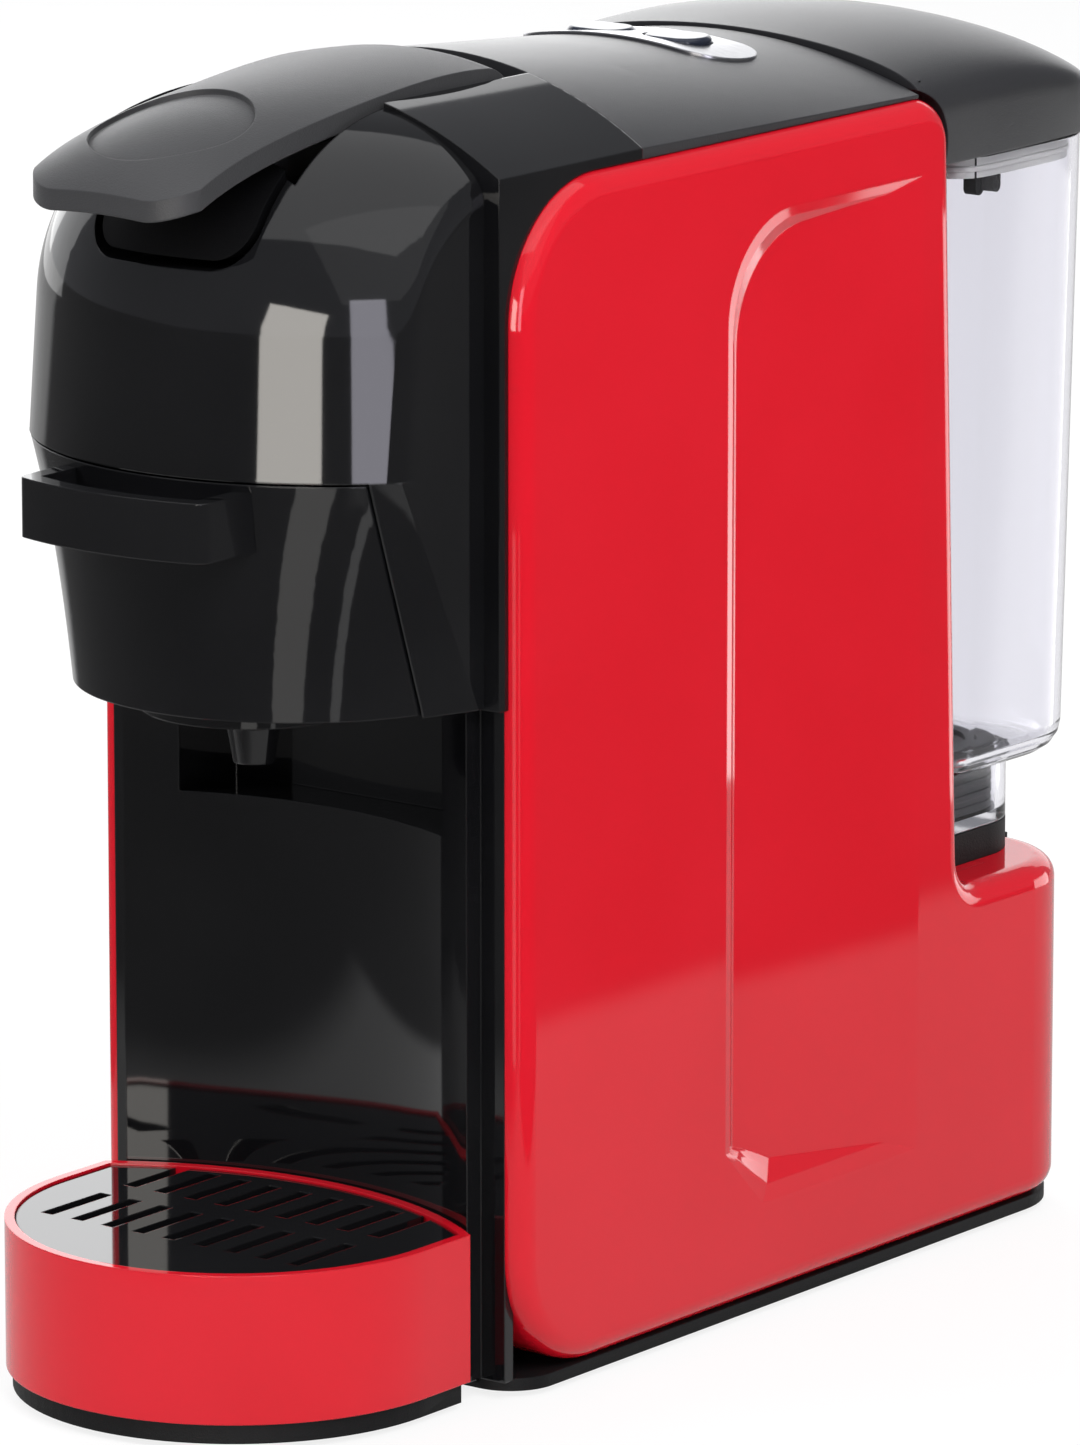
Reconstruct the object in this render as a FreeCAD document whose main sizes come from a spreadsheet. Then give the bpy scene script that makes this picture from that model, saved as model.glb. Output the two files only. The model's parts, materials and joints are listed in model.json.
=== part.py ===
import FreeCAD, Part
import math
import os
import re
import Sketcher

# Capsule espresso machine, in millimetres.
# +Z is up, the front faces -Y, +X is the right side seen from the front.
# The origin is on the table under the middle of the machine.

# Driving sizes: lengths in mm, angles in degrees; y and z words are places in the frame above.
SIZES = {
    # Body and side panels
    "body_width": 116.0,
    "panel_front_y": -77.0,
    "panel_top_z": 263.4,
    "panel_rear_top_y": 80.3,
    "panel_rear_low_y": 86.8,
    "panel_skin": 5.5,
    "panel_wall": 3.0,
    "panel_lip": 12.0,
    "panel_wrap": 25.0,
    "panel_edge_round": 5.0,
    "panel_front_top_round": 30.0,
    "panel_front_low_round": 27.0,
    "panel_rear_low_round": 12.0,
    "panel_notch_round": 8.0,
    "panel_rear_top_round": 11.0,
    "body_rear_y": 140.0,
    "deck_z": 82.0,
    # Sunk field in each side panel
    "field_depth": 3.0,
    "field_front_y": -3.6,
    "field_ramp": 8.0,
    "field_fade_y": 69.0,
    "field_low_z": 26.0,
    "field_high_z": 247.0,
    "field_corner_round": 24.0,
    "field_cut": 14.0,
    # Base and feet
    "foot_height": 1.5,
    "foot_radius": 7.0,
    "foot_inset_x": 16.0,
    "foot_inset_y": 22.0,
    "base_thick": 2.8,
    "base_inset": 1.6,
    "tongue_thick": 4.2,
    "tongue_inset": 1.4,
    # Cup bay and front column
    "bay_centre_y": -156.6,
    "bay_radius": 88.2,
    "horn_wall": 1.0,
    "column_inset": 4.6,
    "column_wall": 5.0,
    "column_top_z": 152.0,
    "niche_half": 36.0,
    "niche_low_z": 122.0,
    "niche_depth": 12.0,
    "niche_wall": 2.5,
    # Drip tray
    "tray_centre_y": -101.0,
    "tray_radius": 50.3,
    "tray_gap": 0.7,
    "tray_top_z": 38.6,
    "tray_wall": 2.2,
    "pan_floor": 2.5,
    "pan_wall": 1.8,
    "grid_thick": 2.4,
    "grid_sink": 0.5,
    "slot_width": 3.2,
    "slot_pitch": 8.4,
    "slot_front_length": 20.0,
    "slot_rear_length": 19.0,
    "slot_split_y": -101.0,
    "slot_bridge": 8.0,
    "slot_count": 9,
    "slide_gap": 0.3,
    # Arched top
    "arch_inset": 3.5,
    "arch_front_edge_z": 265.8,
    "arch_front_crown_z": 282.0,
    "arch_rear_edge_z": 264.2,
    "arch_rear_crown_z": 273.8,
    "arch_wall": 3.0,
    "cover_front_y": -30.0,
    "cover_rear_y": 71.5,
    # Head
    "head_centre_y": -65.5,
    "head_radius": 66.0,
    "head_low_z": 205.3,
    "head_shoulder_radius": 61.5,
    "head_shoulder_z": 275.1,
    "head_round": 46.0,
    "head_crown_z": 281.0,
    "head_rear_y": -80.0,
    "head_wall": 3.0,
    "cheek_half": 50.5,
    "cheek_round": 8.0,
    "cheek_toe": 2.0,
    "cheek_low_z": 152.4,
    "chin_centre_y": -79.3,
    "chin_radius": 48.3,
    "seam_half": 45.4,
    "shoulder_wall": 4.0,
    # Lever
    "pivot_y": -43.0,
    "pivot_z": 272.0,
    "pivot_pin_radius": 3.0,
    "running_clearance": 0.05,
    "lever_half": 22.5,
    "lever_front_half": 22.0,
    "lever_front_y": -145.5,
    "lever_thick": 4.5,
    "lever_sunk": 2.7,
    "lever_gap": 1.5,
    "lever_front_crown_z": 266.4,
    "lever_front_rise": 1.6,
    "lever_nose_y": -131.0,
    "lever_nose_crown_z": 276.6,
    "lever_nose_rise": 5.2,
    "lever_mid_y": -107.0,
    "lever_mid_crown_z": 282.2,
    "lever_back_y": -77.0,
    "lever_mid_rise": 5.6,
    "lever_back_crown_z": 283.8,
    "lever_back_rise": 3.4,
    "lever_corner_round": 12.0,
    "barrel_radius": 12.0,
    "barrel_end_radius": 9.4,
    "dish_radius": 17.5,
    "dish_depth": 1.2,
    "dish_centre_y": -121.0,
    "crank_radius": 14.0,
    "crank_drop": 45.0,
    "crank_pin_radius": 2.0,
    "crank_arm_gap": 1.0,
    "crank_arm_thick": 4.0,
    "crank_boss": 5.0,
    "pivot_boss": 7.5,
    "yoke_half": 5.5,
    "yoke_slot_play": 0.9,
    "yoke_gap": 1.7,
    "ear_thick": 3.2,
    "keel_half": 20.0,
    "keel_low_z": 250.5,
    "keel_round": 7.0,
    "keel_set": 0.6,
    "keel_rear_y": -108.0,
    "spine_half": 11.0,
    "spine_low_z": 270.2,
    "scoop_gap": 2.0,
    "channel_drop": 8.0,
    # Brew group
    "brew_y": -95.0,
    "piston_radius": 22.0,
    "piston_low_z": 202.0,
    "piston_high_z": 214.0,
    "stem_radius": 8.0,
    "stem_top_z": 255.5,
    "seal_width": 3.0,
    "seal_depth": 1.5,
    "shower_radius": 20.0,
    "shower_thick": 1.5,
    "needle_radius": 0.9,
    "needle_length": 1.5,
    "needle_circle": 12.0,
    "needle_count": 3,
    "needle_turn": 30.0,
    "bridge_low_z": 232.0,
    "bridge_high_z": 245.0,
    "bridge_front_y": -113.0,
    "bridge_rear_y": -66.0,
    "bridge_nose_half": 17.0,
    "bridge_nose_round": 13.6,
    # Capsule holder
    "holder_gap": 0.5,
    "holder_low_z": 153.1,
    "holder_deck_z": 198.0,
    "holder_rim": 3.5,
    "holder_rear_y": -75.0,
    "holder_tail_half": 39.0,
    "holder_tail_front_y": -86.0,
    "rail_height": 5.0,
    "rail_depth": 4.0,
    "rail_low_z": 178.0,
    "insert_radius": 23.0,
    "insert_flange": 3.0,
    "insert_wall": 2.0,
    "insert_depth": 34.0,
    "spout_radius": 24.0,
    "spout_ring": 4.0,
    "spout_tip_z": 137.0,
    "spout_tip_radius": 4.5,
    "spout_bore": 3.0,
    "strap_reach": 14.5,
    "strap_thick": 4.0,
    "strap_half": 25.0,
    "strap_round": 3.0,
    "strap_low_z": 190.4,
    "strap_top_z": 203.2,
    # Buttons
    "oblong_share": 0.48,
    "button_y": 42.0,
    "button_pitch": 21.0,
    "button_length": 15.6,
    "button_width": 11.6,
    "button_gap": 0.4,
    "button_flange": 1.2,
    "button_flange_thick": 1.6,
    "button_proud": 1.0,
    "button_sink": 2.8,
    "button_stem_reach": 3.6,
    "bezel_length": 58.0,
    "bezel_width": 23.0,
    "bezel_proud": 0.7,
    "bezel_depth": 2.2,
    "stem_switch_radius": 1.6,
    "switch_side": 9.0,
    "switch_height": 3.8,
    "board_thick": 1.6,
    "board_length": 62.0,
    "board_width": 44.0,
    "board_z": 262.0,
    # Water tank
    "tank_front_y": 89.5,
    "tank_rear_y": 151.3,
    "tank_half_top": 55.0,
    "tank_half_low": 51.5,
    "tank_rear_round": 25.0,
    "tank_front_round": 10.0,
    "tank_low_z": 104.0,
    "tank_top_z": 247.0,
    "tank_wall": 2.2,
    "tank_low_round": 7.0,
    "neck_half": 43.0,
    "neck_front_y": 94.0,
    "neck_rear_y": 137.0,
    "neck_round": 18.0,
    "neck_height": 14.5,
    "dock_wall": 2.4,
    "spigot_radius": 8.0,
    "spigot_length": 4.4,
    "spigot_gap": 0.5,
    "valve_y": 113.0,
    "valve_bore": 4.0,
    "poppet_radius": 6.5,
    "poppet_thick": 2.5,
    "poppet_stem": 2.0,
    "poppet_recess": 1.0,
    "poppet_open": 1.8,
    "dock_floor": 2.0,
    "dock_pin": 1.4,
    "seal_ring": 1.8,
    "seal_height": 3.0,
    "lid_front_y": 81.4,
    "lid_gap": 2.0,
    "lid_wall": 3.2,
    "lid_skirt": 5.0,
    "lid_crown_z": 277.0,
    "lid_edge_z": 263.6,
    "lid_fall": 3.0,
    "lid_rear_round": 24.0,
    "hook_count": 2,
    "hook_drop": 4.0,
    "hook_thick": 3.0,
    "hook_inset": 7.5,
    # Inside
    "frame_half": 41.0,
    "frame_plate": 2.5,
    "frame_front_y": -50.0,
    "shelf_front_y": -26.5,
    "frame_rear_y": 74.0,
    "frame_top_z": 238.0,
    "shelf_z": 112.0,
    "pump_radius": 17.0,
    "pump_length": 62.0,
    "coil_side": 42.0,
    "coil_length": 34.0,
    "mount_height": 8.2,
    "mount_radius": 5.0,
    "heater_half": 27.0,
    "heater_length": 66.0,
    "heater_height": 34.0,
    "heater_round": 5.0,
    "heater_y": 10.0,
    "window_margin": 12.0,
    "post_radius": 3.0,
    "pump_front_y": -36.0,
    "thermostat_radius": 7.0,
    "thermostat_height": 5.0,
    "meter_radius": 13.0,
    "meter_gap": 1.5,
    "meter_y": 55.0,
    "meter_height": 20.0,
    "tube_radius": 3.0,
    "tube_bend": 7.0,
    "port_radius": 4.5,
    "supply_run_z": 48.0,
    "suction_x": 16.0,
    "riser_y": -45.0,
    "brew_tube_x": 12.0,
    "screw_radius": 1.8,
    "screw_head_height": 1.4,
    "screw_x": 30.0,
    "screw_margin_y": 16.0,
    "vent_count": 5,
    "vent_height": 3.0,
    "vent_pitch": 7.0,
    "vent_half": 20.0,
    "vent_low_z": 42.0,
    "screw_head": 3.4,
    "gland_radius": 8.0,
    "gland_throat": 5.6,
    "gland_z": 22.0,
    "gland_inset": 13.0,
}

# Places worked out from the driving sizes.
PLACES = {
    "half_width": "body_width / 2",
    "panel_low_z": "foot_height + base_thick",
    "lip_x": "half_width - panel_lip",
    "wrap_x": "half_width - panel_wrap",
    "bay_half": "lip_x + horn_wall",
    "column_half": "half_width - column_inset",
    "arch_half": "half_width - arch_inset",
    "shoulder_inner": "lip_x - shoulder_wall",
    "wrap_y": "body_rear_y - panel_wrap - panel_wall",
    "tongue_top_z": "foot_height + tongue_thick",
    "tray_low_z": "tongue_top_z + slide_gap",
    "grid_top_z": "tray_top_z - grid_sink",
    "grid_low_z": "grid_top_z - grid_thick",
    "pan_top_z": "grid_low_z - slide_gap",
    "crank_pin_y": "pivot_y - crank_radius * cos(crank_drop)",
    "crank_pin_z": "pivot_z - crank_radius * sin(crank_drop)",
    "yoke_slot_radius": "crank_pin_radius + yoke_slot_play",
    "yoke_rear_y": "pivot_y - pivot_pin_radius - lever_gap",
    "yoke_top_z": "spine_low_z - yoke_gap",
    "yoke_front_y": "pivot_y - crank_radius - yoke_slot_radius - crank_arm_thick",
    "channel_half": "lever_half + lever_gap",
    "arm_inner": "yoke_half + crank_arm_gap",
    "arm_outer": "arm_inner + crank_arm_thick",
    "shower_low_z": "piston_low_z - shower_thick",
    "holder_half": "seam_half - holder_gap / 2",
    "cheek_inner": "seam_half + holder_gap / 2",
    "holder_top_z": "head_low_z - holder_gap",
    "strap_radius": "head_radius + strap_reach",
    "cover_low_z": "panel_top_z",
    "clear_z": "arch_front_crown_z + panel_wall",
    "clear_front_y": "head_centre_y - head_radius - panel_wall",
    "board_top_z": "board_z + board_thick",
    "switch_top_z": "board_top_z + switch_height",
    "cover_fall": "(arch_front_crown_z - arch_rear_crown_z) / (cover_rear_y - cover_front_y)",
    "button_bed_z": "arch_front_crown_z - cover_fall * (button_y - cover_front_y)",
    "button_top_z": "button_bed_z + button_proud",
    "button_flange_top_z": "button_bed_z - bezel_depth - button_sink",
    "button_flange_low_z": "button_flange_top_z - button_flange_thick",
    "dock_top_z": "tank_low_z - neck_height",
    "spigot_low_z": "dock_top_z - spigot_length",
    "floor_top_z": "panel_low_z + frame_plate",
    "coil_low_z": "floor_top_z + mount_height",
    "pump_z": "coil_low_z + coil_side / 2",
    "pump_rear_y": "pump_front_y + pump_length",
    "shelf_top_z": "shelf_z + frame_plate",
    "heater_front_y": "heater_y - heater_length / 2",
    "heater_rear_y": "heater_y + heater_length / 2",
    "heater_top_z": "shelf_top_z + heater_height",
    "heater_z": "shelf_top_z + heater_height / 2",
    "meter_top_z": "floor_top_z + meter_height",
    "meter_x": "frame_half - frame_plate - meter_radius - meter_gap",
    "gland_x": "wrap_x - gland_inset",
    "tank_rest_z": "tank_top_z + slide_gap",
    "corner_y": "panel_rear_top_y - panel_rear_top_round",
    "corner_z": "panel_top_z - panel_rear_top_round",
    "lid_nose_y": "cover_rear_y + lid_gap",
}

doc = FreeCAD.newDocument("EspressoMachine")
sheet = doc.addObject("Spreadsheet::Sheet", "Sizes")
for row, (word, number) in enumerate(SIZES.items(), 1):
    sheet.set(f"A{row}", word)
    sheet.set(f"B{row}", str(number))
    sheet.setAlias(f"B{row}", word)
doc.recompute()

WORD = re.compile(r"[A-Za-z_]\w*")
PLANES = {"top": "XY_Plane", "front": "XZ_Plane", "side": "YZ_Plane"}
UP = FreeCAD.Vector(0, 0, 1)
TURNS = {
    "x": FreeCAD.Rotation(FreeCAD.Vector(0, 1, 0), 90),
    "y": FreeCAD.Rotation(FreeCAD.Vector(1, 0, 0), -90),
    "z": FreeCAD.Rotation(),
}
NODES = []


def linked(expression):
    """The expression with each size word pointing at its cell in the sheet."""
    def swap(match):
        word = match.group(0)
        if word in PLACES:
            return "(" + linked(PLACES[word]) + ")"
        return "Sizes." + word if word in SIZES else word
    return WORD.sub(swap, str(expression))


def value(expression):
    return float(sheet.evalExpression(linked(expression)))


def bind(obj, prop, expression):
    obj.setExpression(prop, linked(expression))


def place(obj, at):
    for letter, expression in zip("xyz", at):
        bind(obj, "Placement.Base." + letter, expression)


def profile(body, name, plane, level, corners, arcs=None):
    """A closed sketch: corners are (x, y) or (x, y, round); arcs maps an edge to (radius, centre side)."""
    arcs = arcs or {}
    role = PLANES[plane]
    sketch = body.newObject("Sketcher::SketchObject", name)
    sketch.AttachmentSupport = [(next(f for f in body.Origin.OriginFeatures if f.Role == role), "")]
    sketch.MapMode = "FlatFace"
    bind(sketch, "AttachmentOffset.Base.z", level)
    points = [FreeCAD.Vector(value(c[0]), value(c[1]), 0) for c in corners]
    count = len(points)
    rounds = []
    for i, corner in enumerate(corners):
        point = points[i]
        if len(corner) < 3:
            rounds.append((point, point, None, 0))
            continue
        back = (points[i - 1] - point).normalize()
        ahead = (points[(i + 1) % count] - point).normalize()
        half = math.acos(back.dot(ahead)) / 2
        radius = value(corner[2])
        reach = radius / math.tan(half)
        centre = point + (back + ahead).normalize() * (radius / math.sin(half))
        rounds.append((point + back * reach, point + ahead * reach, centre, radius))
    rules = []
    sized = []

    def size(kind, *where):
        rules.append(Sketcher.Constraint(kind, *where[:-1], value(where[-1])))
        sized.append((len(rules) - 1, where[-1]))

    def add_arc(centre, radius, start, end, leftwards):
        first = math.atan2(start.y - centre.y, start.x - centre.x)
        last = math.atan2(end.y - centre.y, end.x - centre.x)
        if not leftwards:
            first, last = last, first
        arc = Part.ArcOfCircle(Part.Circle(centre, UP, radius), first, last)
        return (sketch.addGeometry(arc, False), 1 if leftwards else 2, 2 if leftwards else 1)

    edges = []
    for i in range(count):
        start = rounds[i][1]
        end = rounds[(i + 1) % count][0]
        if i in arcs:
            radius = value(arcs[i][0])
            leftwards = arcs[i][1] == "left"
            along = end - start
            across = FreeCAD.Vector(-along.y, along.x, 0).normalize() * (1 if leftwards else -1)
            centre = (start + end) * 0.5 + across * math.sqrt(radius ** 2 - (along.Length / 2) ** 2)
            edges.append(add_arc(centre, radius, start, end, leftwards))
            size("Radius", edges[-1][0], arcs[i][0])
        else:
            edges.append((sketch.addGeometry(Part.LineSegment(start, end), False), 1, 2))
    for i, corner in enumerate(corners):
        before, after = edges[i - 1], edges[i]
        start, end, centre, radius = rounds[i]
        if centre is None:
            rules.append(Sketcher.Constraint("Coincident", before[0], before[2], after[0], after[1]))
            size("DistanceX", after[0], after[1], corner[0])
            size("DistanceY", after[0], after[1], corner[1])
            continue
        turn = (start - centre).cross(end - centre).z
        arc = add_arc(centre, radius, start, end, turn > 0)
        mark = sketch.addGeometry(Part.Point(points[i]), True)
        rules.append(Sketcher.Constraint("Tangent", before[0], before[2], arc[0], arc[1]))
        rules.append(Sketcher.Constraint("Tangent", arc[0], arc[2], after[0], after[1]))
        rules.append(Sketcher.Constraint("PointOnObject", mark, 1, before[0]))
        rules.append(Sketcher.Constraint("PointOnObject", mark, 1, after[0]))
        size("DistanceX", mark, 1, corner[0])
        size("DistanceY", mark, 1, corner[1])
        size("Radius", arc[0], corner[2])
    sketch.addConstraint(rules)
    for index, expression in sized:
        bind(sketch, f"Constraints[{index}]", expression)
    return sketch


def pad(name, plane, corners, low, high, arcs=None):
    """An outline drawn on a plane and padded from one place to another along the plane's axis."""
    body = doc.addObject("PartDesign::Body", name)
    level = f"-({high})" if plane == "front" else low
    feature_sketch = profile(body, name + "_outline", plane, level, corners, arcs)
    feature = body.newObject("PartDesign::Pad", name + "_pad")
    feature.Profile = feature_sketch
    bind(feature, "Length", f"({high}) - ({low})")
    return body


def loft(name, plane, sections, ruled=True):
    """A solid through outlines at several levels; sections are (level, corners) or (level, corners, arcs)."""
    body = doc.addObject("PartDesign::Body", name)
    outlines = []
    for i, section in enumerate(sections):
        level = f"-({section[0]})" if plane == "front" else section[0]
        outlines.append(profile(body, f"{name}_section_{i}", plane, level, *section[1:]))
    feature = body.newObject("PartDesign::AdditiveLoft", name + "_loft")
    feature.Profile = outlines[0]
    feature.Sections = outlines[1:]
    feature.Ruled = ruled
    return body


def revolve(name, corners, at=("0", "0", "0"), arcs=None, axis="V_Axis"):
    """An outline in the XZ plane turned about the vertical axis, or about X with axis H_Axis."""
    body = doc.addObject("PartDesign::Body", name)
    outline = profile(body, name + "_outline", "front", "0", corners, arcs)
    feature = body.newObject("PartDesign::Revolution", name + "_turn")
    feature.Profile = outline
    feature.ReferenceAxis = (outline, [axis])
    place(body, at)
    return body


def block(name, x, y, z):
    box = doc.addObject("Part::Box", name)
    for prop, (low, high) in zip(("Length", "Width", "Height"), (x, y, z)):
        bind(box, prop, f"({high}) - ({low})")
    place(box, (x[0], y[0], z[0]))
    return box


def rod(name, axis, at, radius, length):
    """A cylinder that starts at a point and runs along an axis."""
    cylinder = doc.addObject("Part::Cylinder", name)
    bind(cylinder, "Radius", radius)
    bind(cylinder, "Height", length)
    cylinder.Placement = FreeCAD.Placement(FreeCAD.Vector(), TURNS[axis])
    place(cylinder, at)
    return cylinder


def cut(name, base, *tools):
    result = doc.addObject("Part::Cut", name)
    result.Base = base
    result.Tool = tools[0] if len(tools) == 1 else fuse(name + "_tools", *tools)
    return result


def fuse(name, *shapes):
    result = doc.addObject("Part::MultiFuse", name)
    result.Shapes = list(shapes)
    return result


def common(name, *shapes):
    result = doc.addObject("Part::MultiCommon", name)
    result.Shapes = list(shapes)
    return result


def group(name, *shapes):
    result = doc.addObject("Part::Compound", name)
    result.Links = list(shapes)
    return result


def mirror(name, source):
    result = doc.addObject("Part::Mirroring", name)
    result.Source = source
    result.Normal = FreeCAD.Vector(1, 0, 0)
    return result


def sharp(shape, edge):
    """Whether the two faces along an edge meet at an angle."""
    faces = shape.ancestorsOfType(edge, Part.Face)
    if len(faces) < 2:
        return False
    middle = edge.valueAt((edge.FirstParameter + edge.LastParameter) / 2)
    normals = [face.normalAt(*face.Surface.parameter(middle)) for face in faces[:2]]
    return abs(normals[0].dot(normals[1])) < 0.985


def soften(name, source, radius, chosen):
    """The source with its chosen sharp edges rounded; chosen reads an edge's middle point and its box."""
    body = doc.addObject("PartDesign::Body", name)
    body.BaseFeature = source
    doc.recompute()
    base = body.Group[0]
    picked = []
    for i, edge in enumerate(base.Shape.Edges, 1):
        middle = edge.valueAt((edge.FirstParameter + edge.LastParameter) / 2)
        if chosen(middle, edge.BoundBox) and sharp(base.Shape, edge):
            picked.append(f"Edge{i}")
    feature = body.newObject("PartDesign::Fillet", name + "_fillet")
    feature.Base = (base, picked)
    bind(feature, "Radius", radius)
    return body


def node(obj, label):
    obj.Label = label
    NODES.append(obj)
    return obj


def arch_radius(half, edge, crown):
    rise = f"(({crown}) - ({edge}))"
    return f"(({half})^2 + {rise}^2) / (2 * {rise})"


# Side panels: gloss shells with turned-in edges and a sunk field
def panel_side(inset):
    return [
        (f"panel_front_y + {inset}", f"panel_low_z + {inset}", f"panel_front_low_round - {inset}"),
        (f"panel_front_y + {inset}", f"panel_top_z - {inset}", f"panel_front_top_round - {inset}"),
        (f"panel_rear_top_y - {inset}", f"panel_top_z - {inset}", f"panel_rear_top_round - {inset}"),
        (f"panel_rear_low_y - {inset}", f"deck_z - {inset}", f"panel_notch_round + {inset}"),
        (f"body_rear_y - {inset}", f"deck_z - {inset}"),
        (f"body_rear_y - {inset}", f"panel_low_z + {inset}", f"panel_rear_low_round - {inset}"),
    ]


def panel_plan(skin, inset):
    return [
        ("0", f"panel_front_y + {inset}"),
        (f"half_width - {skin}", f"panel_front_y + {inset}"),
        (f"half_width - {skin}", f"body_rear_y - {inset}", f"panel_wrap - {skin}"),
        ("0", f"body_rear_y - {inset}"),
    ]


def field_outline(share):
    """The sunk field's border, drawn in by a share of its ramp."""
    ramp = f"{share} * field_ramp"
    low = f"{share} * field_cut"
    return [
        (f"field_front_y + {ramp}", "field_low_z + field_cut"),
        (f"field_front_y + {ramp}", f"field_high_z - {ramp}", "field_corner_round"),
        ("field_fade_y + field_ramp", f"field_high_z - {ramp}"),
        ("field_fade_y + field_ramp", f"field_low_z + {low}"),
        (f"field_front_y + field_cut + {ramp}", f"field_low_z + {low}"),
    ]


FIELD_STEPS = ((0, 0), (0.16, 0.28), (0.5, 0.5), (0.84, 0.72), (1, 1))


def side_panels():
    outer = common(
        "panel_outer",
        pad("panel_outer_side", "side", panel_side("0"), "0", "half_width"),
        pad("panel_outer_plan", "top", panel_plan("0", "0"), "panel_low_z", "panel_top_z"),
    )
    edge_x = value("wrap_x") + 1
    rounded = soften("panel_rounded", outer, "panel_edge_round",
                     lambda middle, box: middle.x > edge_x and box.XLength < value("panel_wrap") + 1)
    field = common(
        "panel_field",
        loft("panel_field_well", "side",
             [(f"half_width - {depth} * field_depth", field_outline(share)) for depth, share in FIELD_STEPS]),
        pad("panel_field_fade", "top",
            [("half_width", "field_fade_y"), ("half_width + panel_wall", "field_fade_y"),
             ("half_width + panel_wall", "field_front_y - panel_wall"),
             ("half_width - field_depth", "field_front_y - panel_wall")],
            "field_low_z - panel_wall", "field_high_z + panel_wall"),
    )
    hollow = common(
        "panel_hollow",
        pad("panel_hollow_side", "side", panel_side("panel_wall"), "0", "half_width"),
        pad("panel_hollow_plan", "top", panel_plan("panel_skin", "panel_wall"), "panel_low_z", "panel_top_z"),
    )
    middle = block("panel_middle", ("0", "lip_x"), ("panel_front_y", "wrap_y"),
                   ("panel_low_z", "panel_top_z"))
    rear_middle = block("panel_rear_middle", ("0", "wrap_x"), ("wrap_y", "body_rear_y"),
                        ("panel_low_z", "deck_z"))
    flange_seat = block("panel_flange_seat", ("0", "column_half"),
                        ("panel_front_y", "panel_front_y + panel_wall"), ("panel_low_z", "column_top_z"))
    right = cut("side_panel_right", rounded, field, hollow, middle, rear_middle, flange_seat)
    node(right, "side_panel_right")
    node(mirror("side_panel_left", right), "side_panel_left")
    return outer


# Drip tray outline: a round front, straight sides and a rear edge that follows the bay wall
def tray_plan(inset):
    radius = f"(tray_radius - {inset})"
    rear = f"(bay_radius - tray_gap - {inset})"
    rear_y = f"bay_centre_y + sqrt({rear}^2 - {radius}^2)"
    corners = [
        (radius, rear_y),
        (f"-{radius}", rear_y),
        (f"-{radius}", "tray_centre_y"),
        ("0", f"tray_centre_y - {radius}"),
        (radius, "tray_centre_y"),
    ]
    return corners, {0: (rear, "left"), 2: (radius, "left"), 3: (radius, "left")}


FOOT_PLACES = [
    (f"{side} * (half_width - foot_inset_x)", y)
    for y in ("panel_front_y + foot_inset_y", "body_rear_y - foot_inset_y")
    for side in (-1, 1)
] + [(f"{side} * tray_radius / 2", "tray_centre_y - tray_radius / 2") for side in (-1, 1)]


SCREW_PLACES = [
    (f"{side} * screw_x", y)
    for y in ("frame_front_y + screw_margin_y", "frame_rear_y - screw_margin_y")
    for side in (-1, 1)
]


def screw(name, x, y, play):
    """A countersunk floor screw, or with a play the hole that it passes through."""
    shank = rod(f"{name}_shank", "z", (x, y, "foot_height"), f"screw_radius + {play}",
                "floor_top_z - foot_height")
    head = rod(f"{name}_head", "z", (x, y, "foot_height"), f"screw_head + {play}",
               f"screw_head_height + {play}")
    return fuse(name, shank, head)


def screw_cuts(owner):
    return [
        screw(f"{owner}_screw_hole_{i}", x, y, "running_clearance") for i, (x, y) in enumerate(SCREW_PLACES)
    ]


def base_and_feet():
    body = pad("base_floor", "top", [
        ("-(half_width - base_inset)", "panel_front_y + base_inset"),
        ("half_width - base_inset", "panel_front_y + base_inset"),
        ("half_width - base_inset", "body_rear_y - base_inset", "panel_wrap - base_inset"),
        ("-(half_width - base_inset)", "body_rear_y - base_inset", "panel_wrap - base_inset"),
    ], "foot_height", "panel_low_z")
    corners, arcs = tray_plan("tongue_inset")
    tongue = pad("base_tongue", "top", corners, "foot_height", "tongue_top_z", arcs)
    node(cut("base_plate", fuse("base_whole", body, tongue), *screw_cuts("base")), "base_plate")
    feet = [
        rod(f"foot_{i}", "z", (x, y, "0"), "foot_radius", "foot_height")
        for i, (x, y) in enumerate(FOOT_PLACES)
    ]
    node(group("rubber_feet", *feet), "rubber_feet")


# Front column: the hollowed wall behind the cup, with a niche under the brew head
def front_column():
    horn_y = "bay_centre_y + sqrt(bay_radius^2 - bay_half^2)"
    flange_y = "panel_front_y + panel_wall"
    rear = "(bay_radius + column_wall)"
    rear_y = f"bay_centre_y + sqrt({rear}^2 - lip_x^2)"
    wall = pad("column_wall_blank", "top", [
        ("-column_half", flange_y), ("-column_half", "panel_front_y"), ("-bay_half", "panel_front_y"),
        ("-bay_half", horn_y), ("bay_half", horn_y),
        ("bay_half", "panel_front_y"), ("column_half", "panel_front_y"), ("column_half", flange_y),
        ("lip_x", flange_y), ("lip_x", rear_y), ("-lip_x", rear_y), ("-lip_x", flange_y),
    ], "panel_low_z", "column_top_z", {3: ("bay_radius", "right"), 9: (rear, "left")})
    niche_rear = "bay_centre_y + bay_radius + niche_depth"
    wall_y = "bay_centre_y + bay_radius - column_wall"
    hood = block("column_niche_hood", ("-niche_half - niche_wall", "niche_half + niche_wall"),
                 (wall_y, f"{niche_rear} + niche_wall"), ("niche_low_z - niche_wall", "column_top_z"))
    niche = block("column_niche", ("-niche_half", "niche_half"),
                  ("bay_centre_y", niche_rear), ("niche_low_z", "column_top_z"))
    bay = rod("column_bay", "z", ("0", "bay_centre_y", "panel_low_z"), "bay_radius", "column_top_z")
    node(cut("front_column", fuse("column_walls", wall, hood), bay, niche), "front_column")


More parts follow.
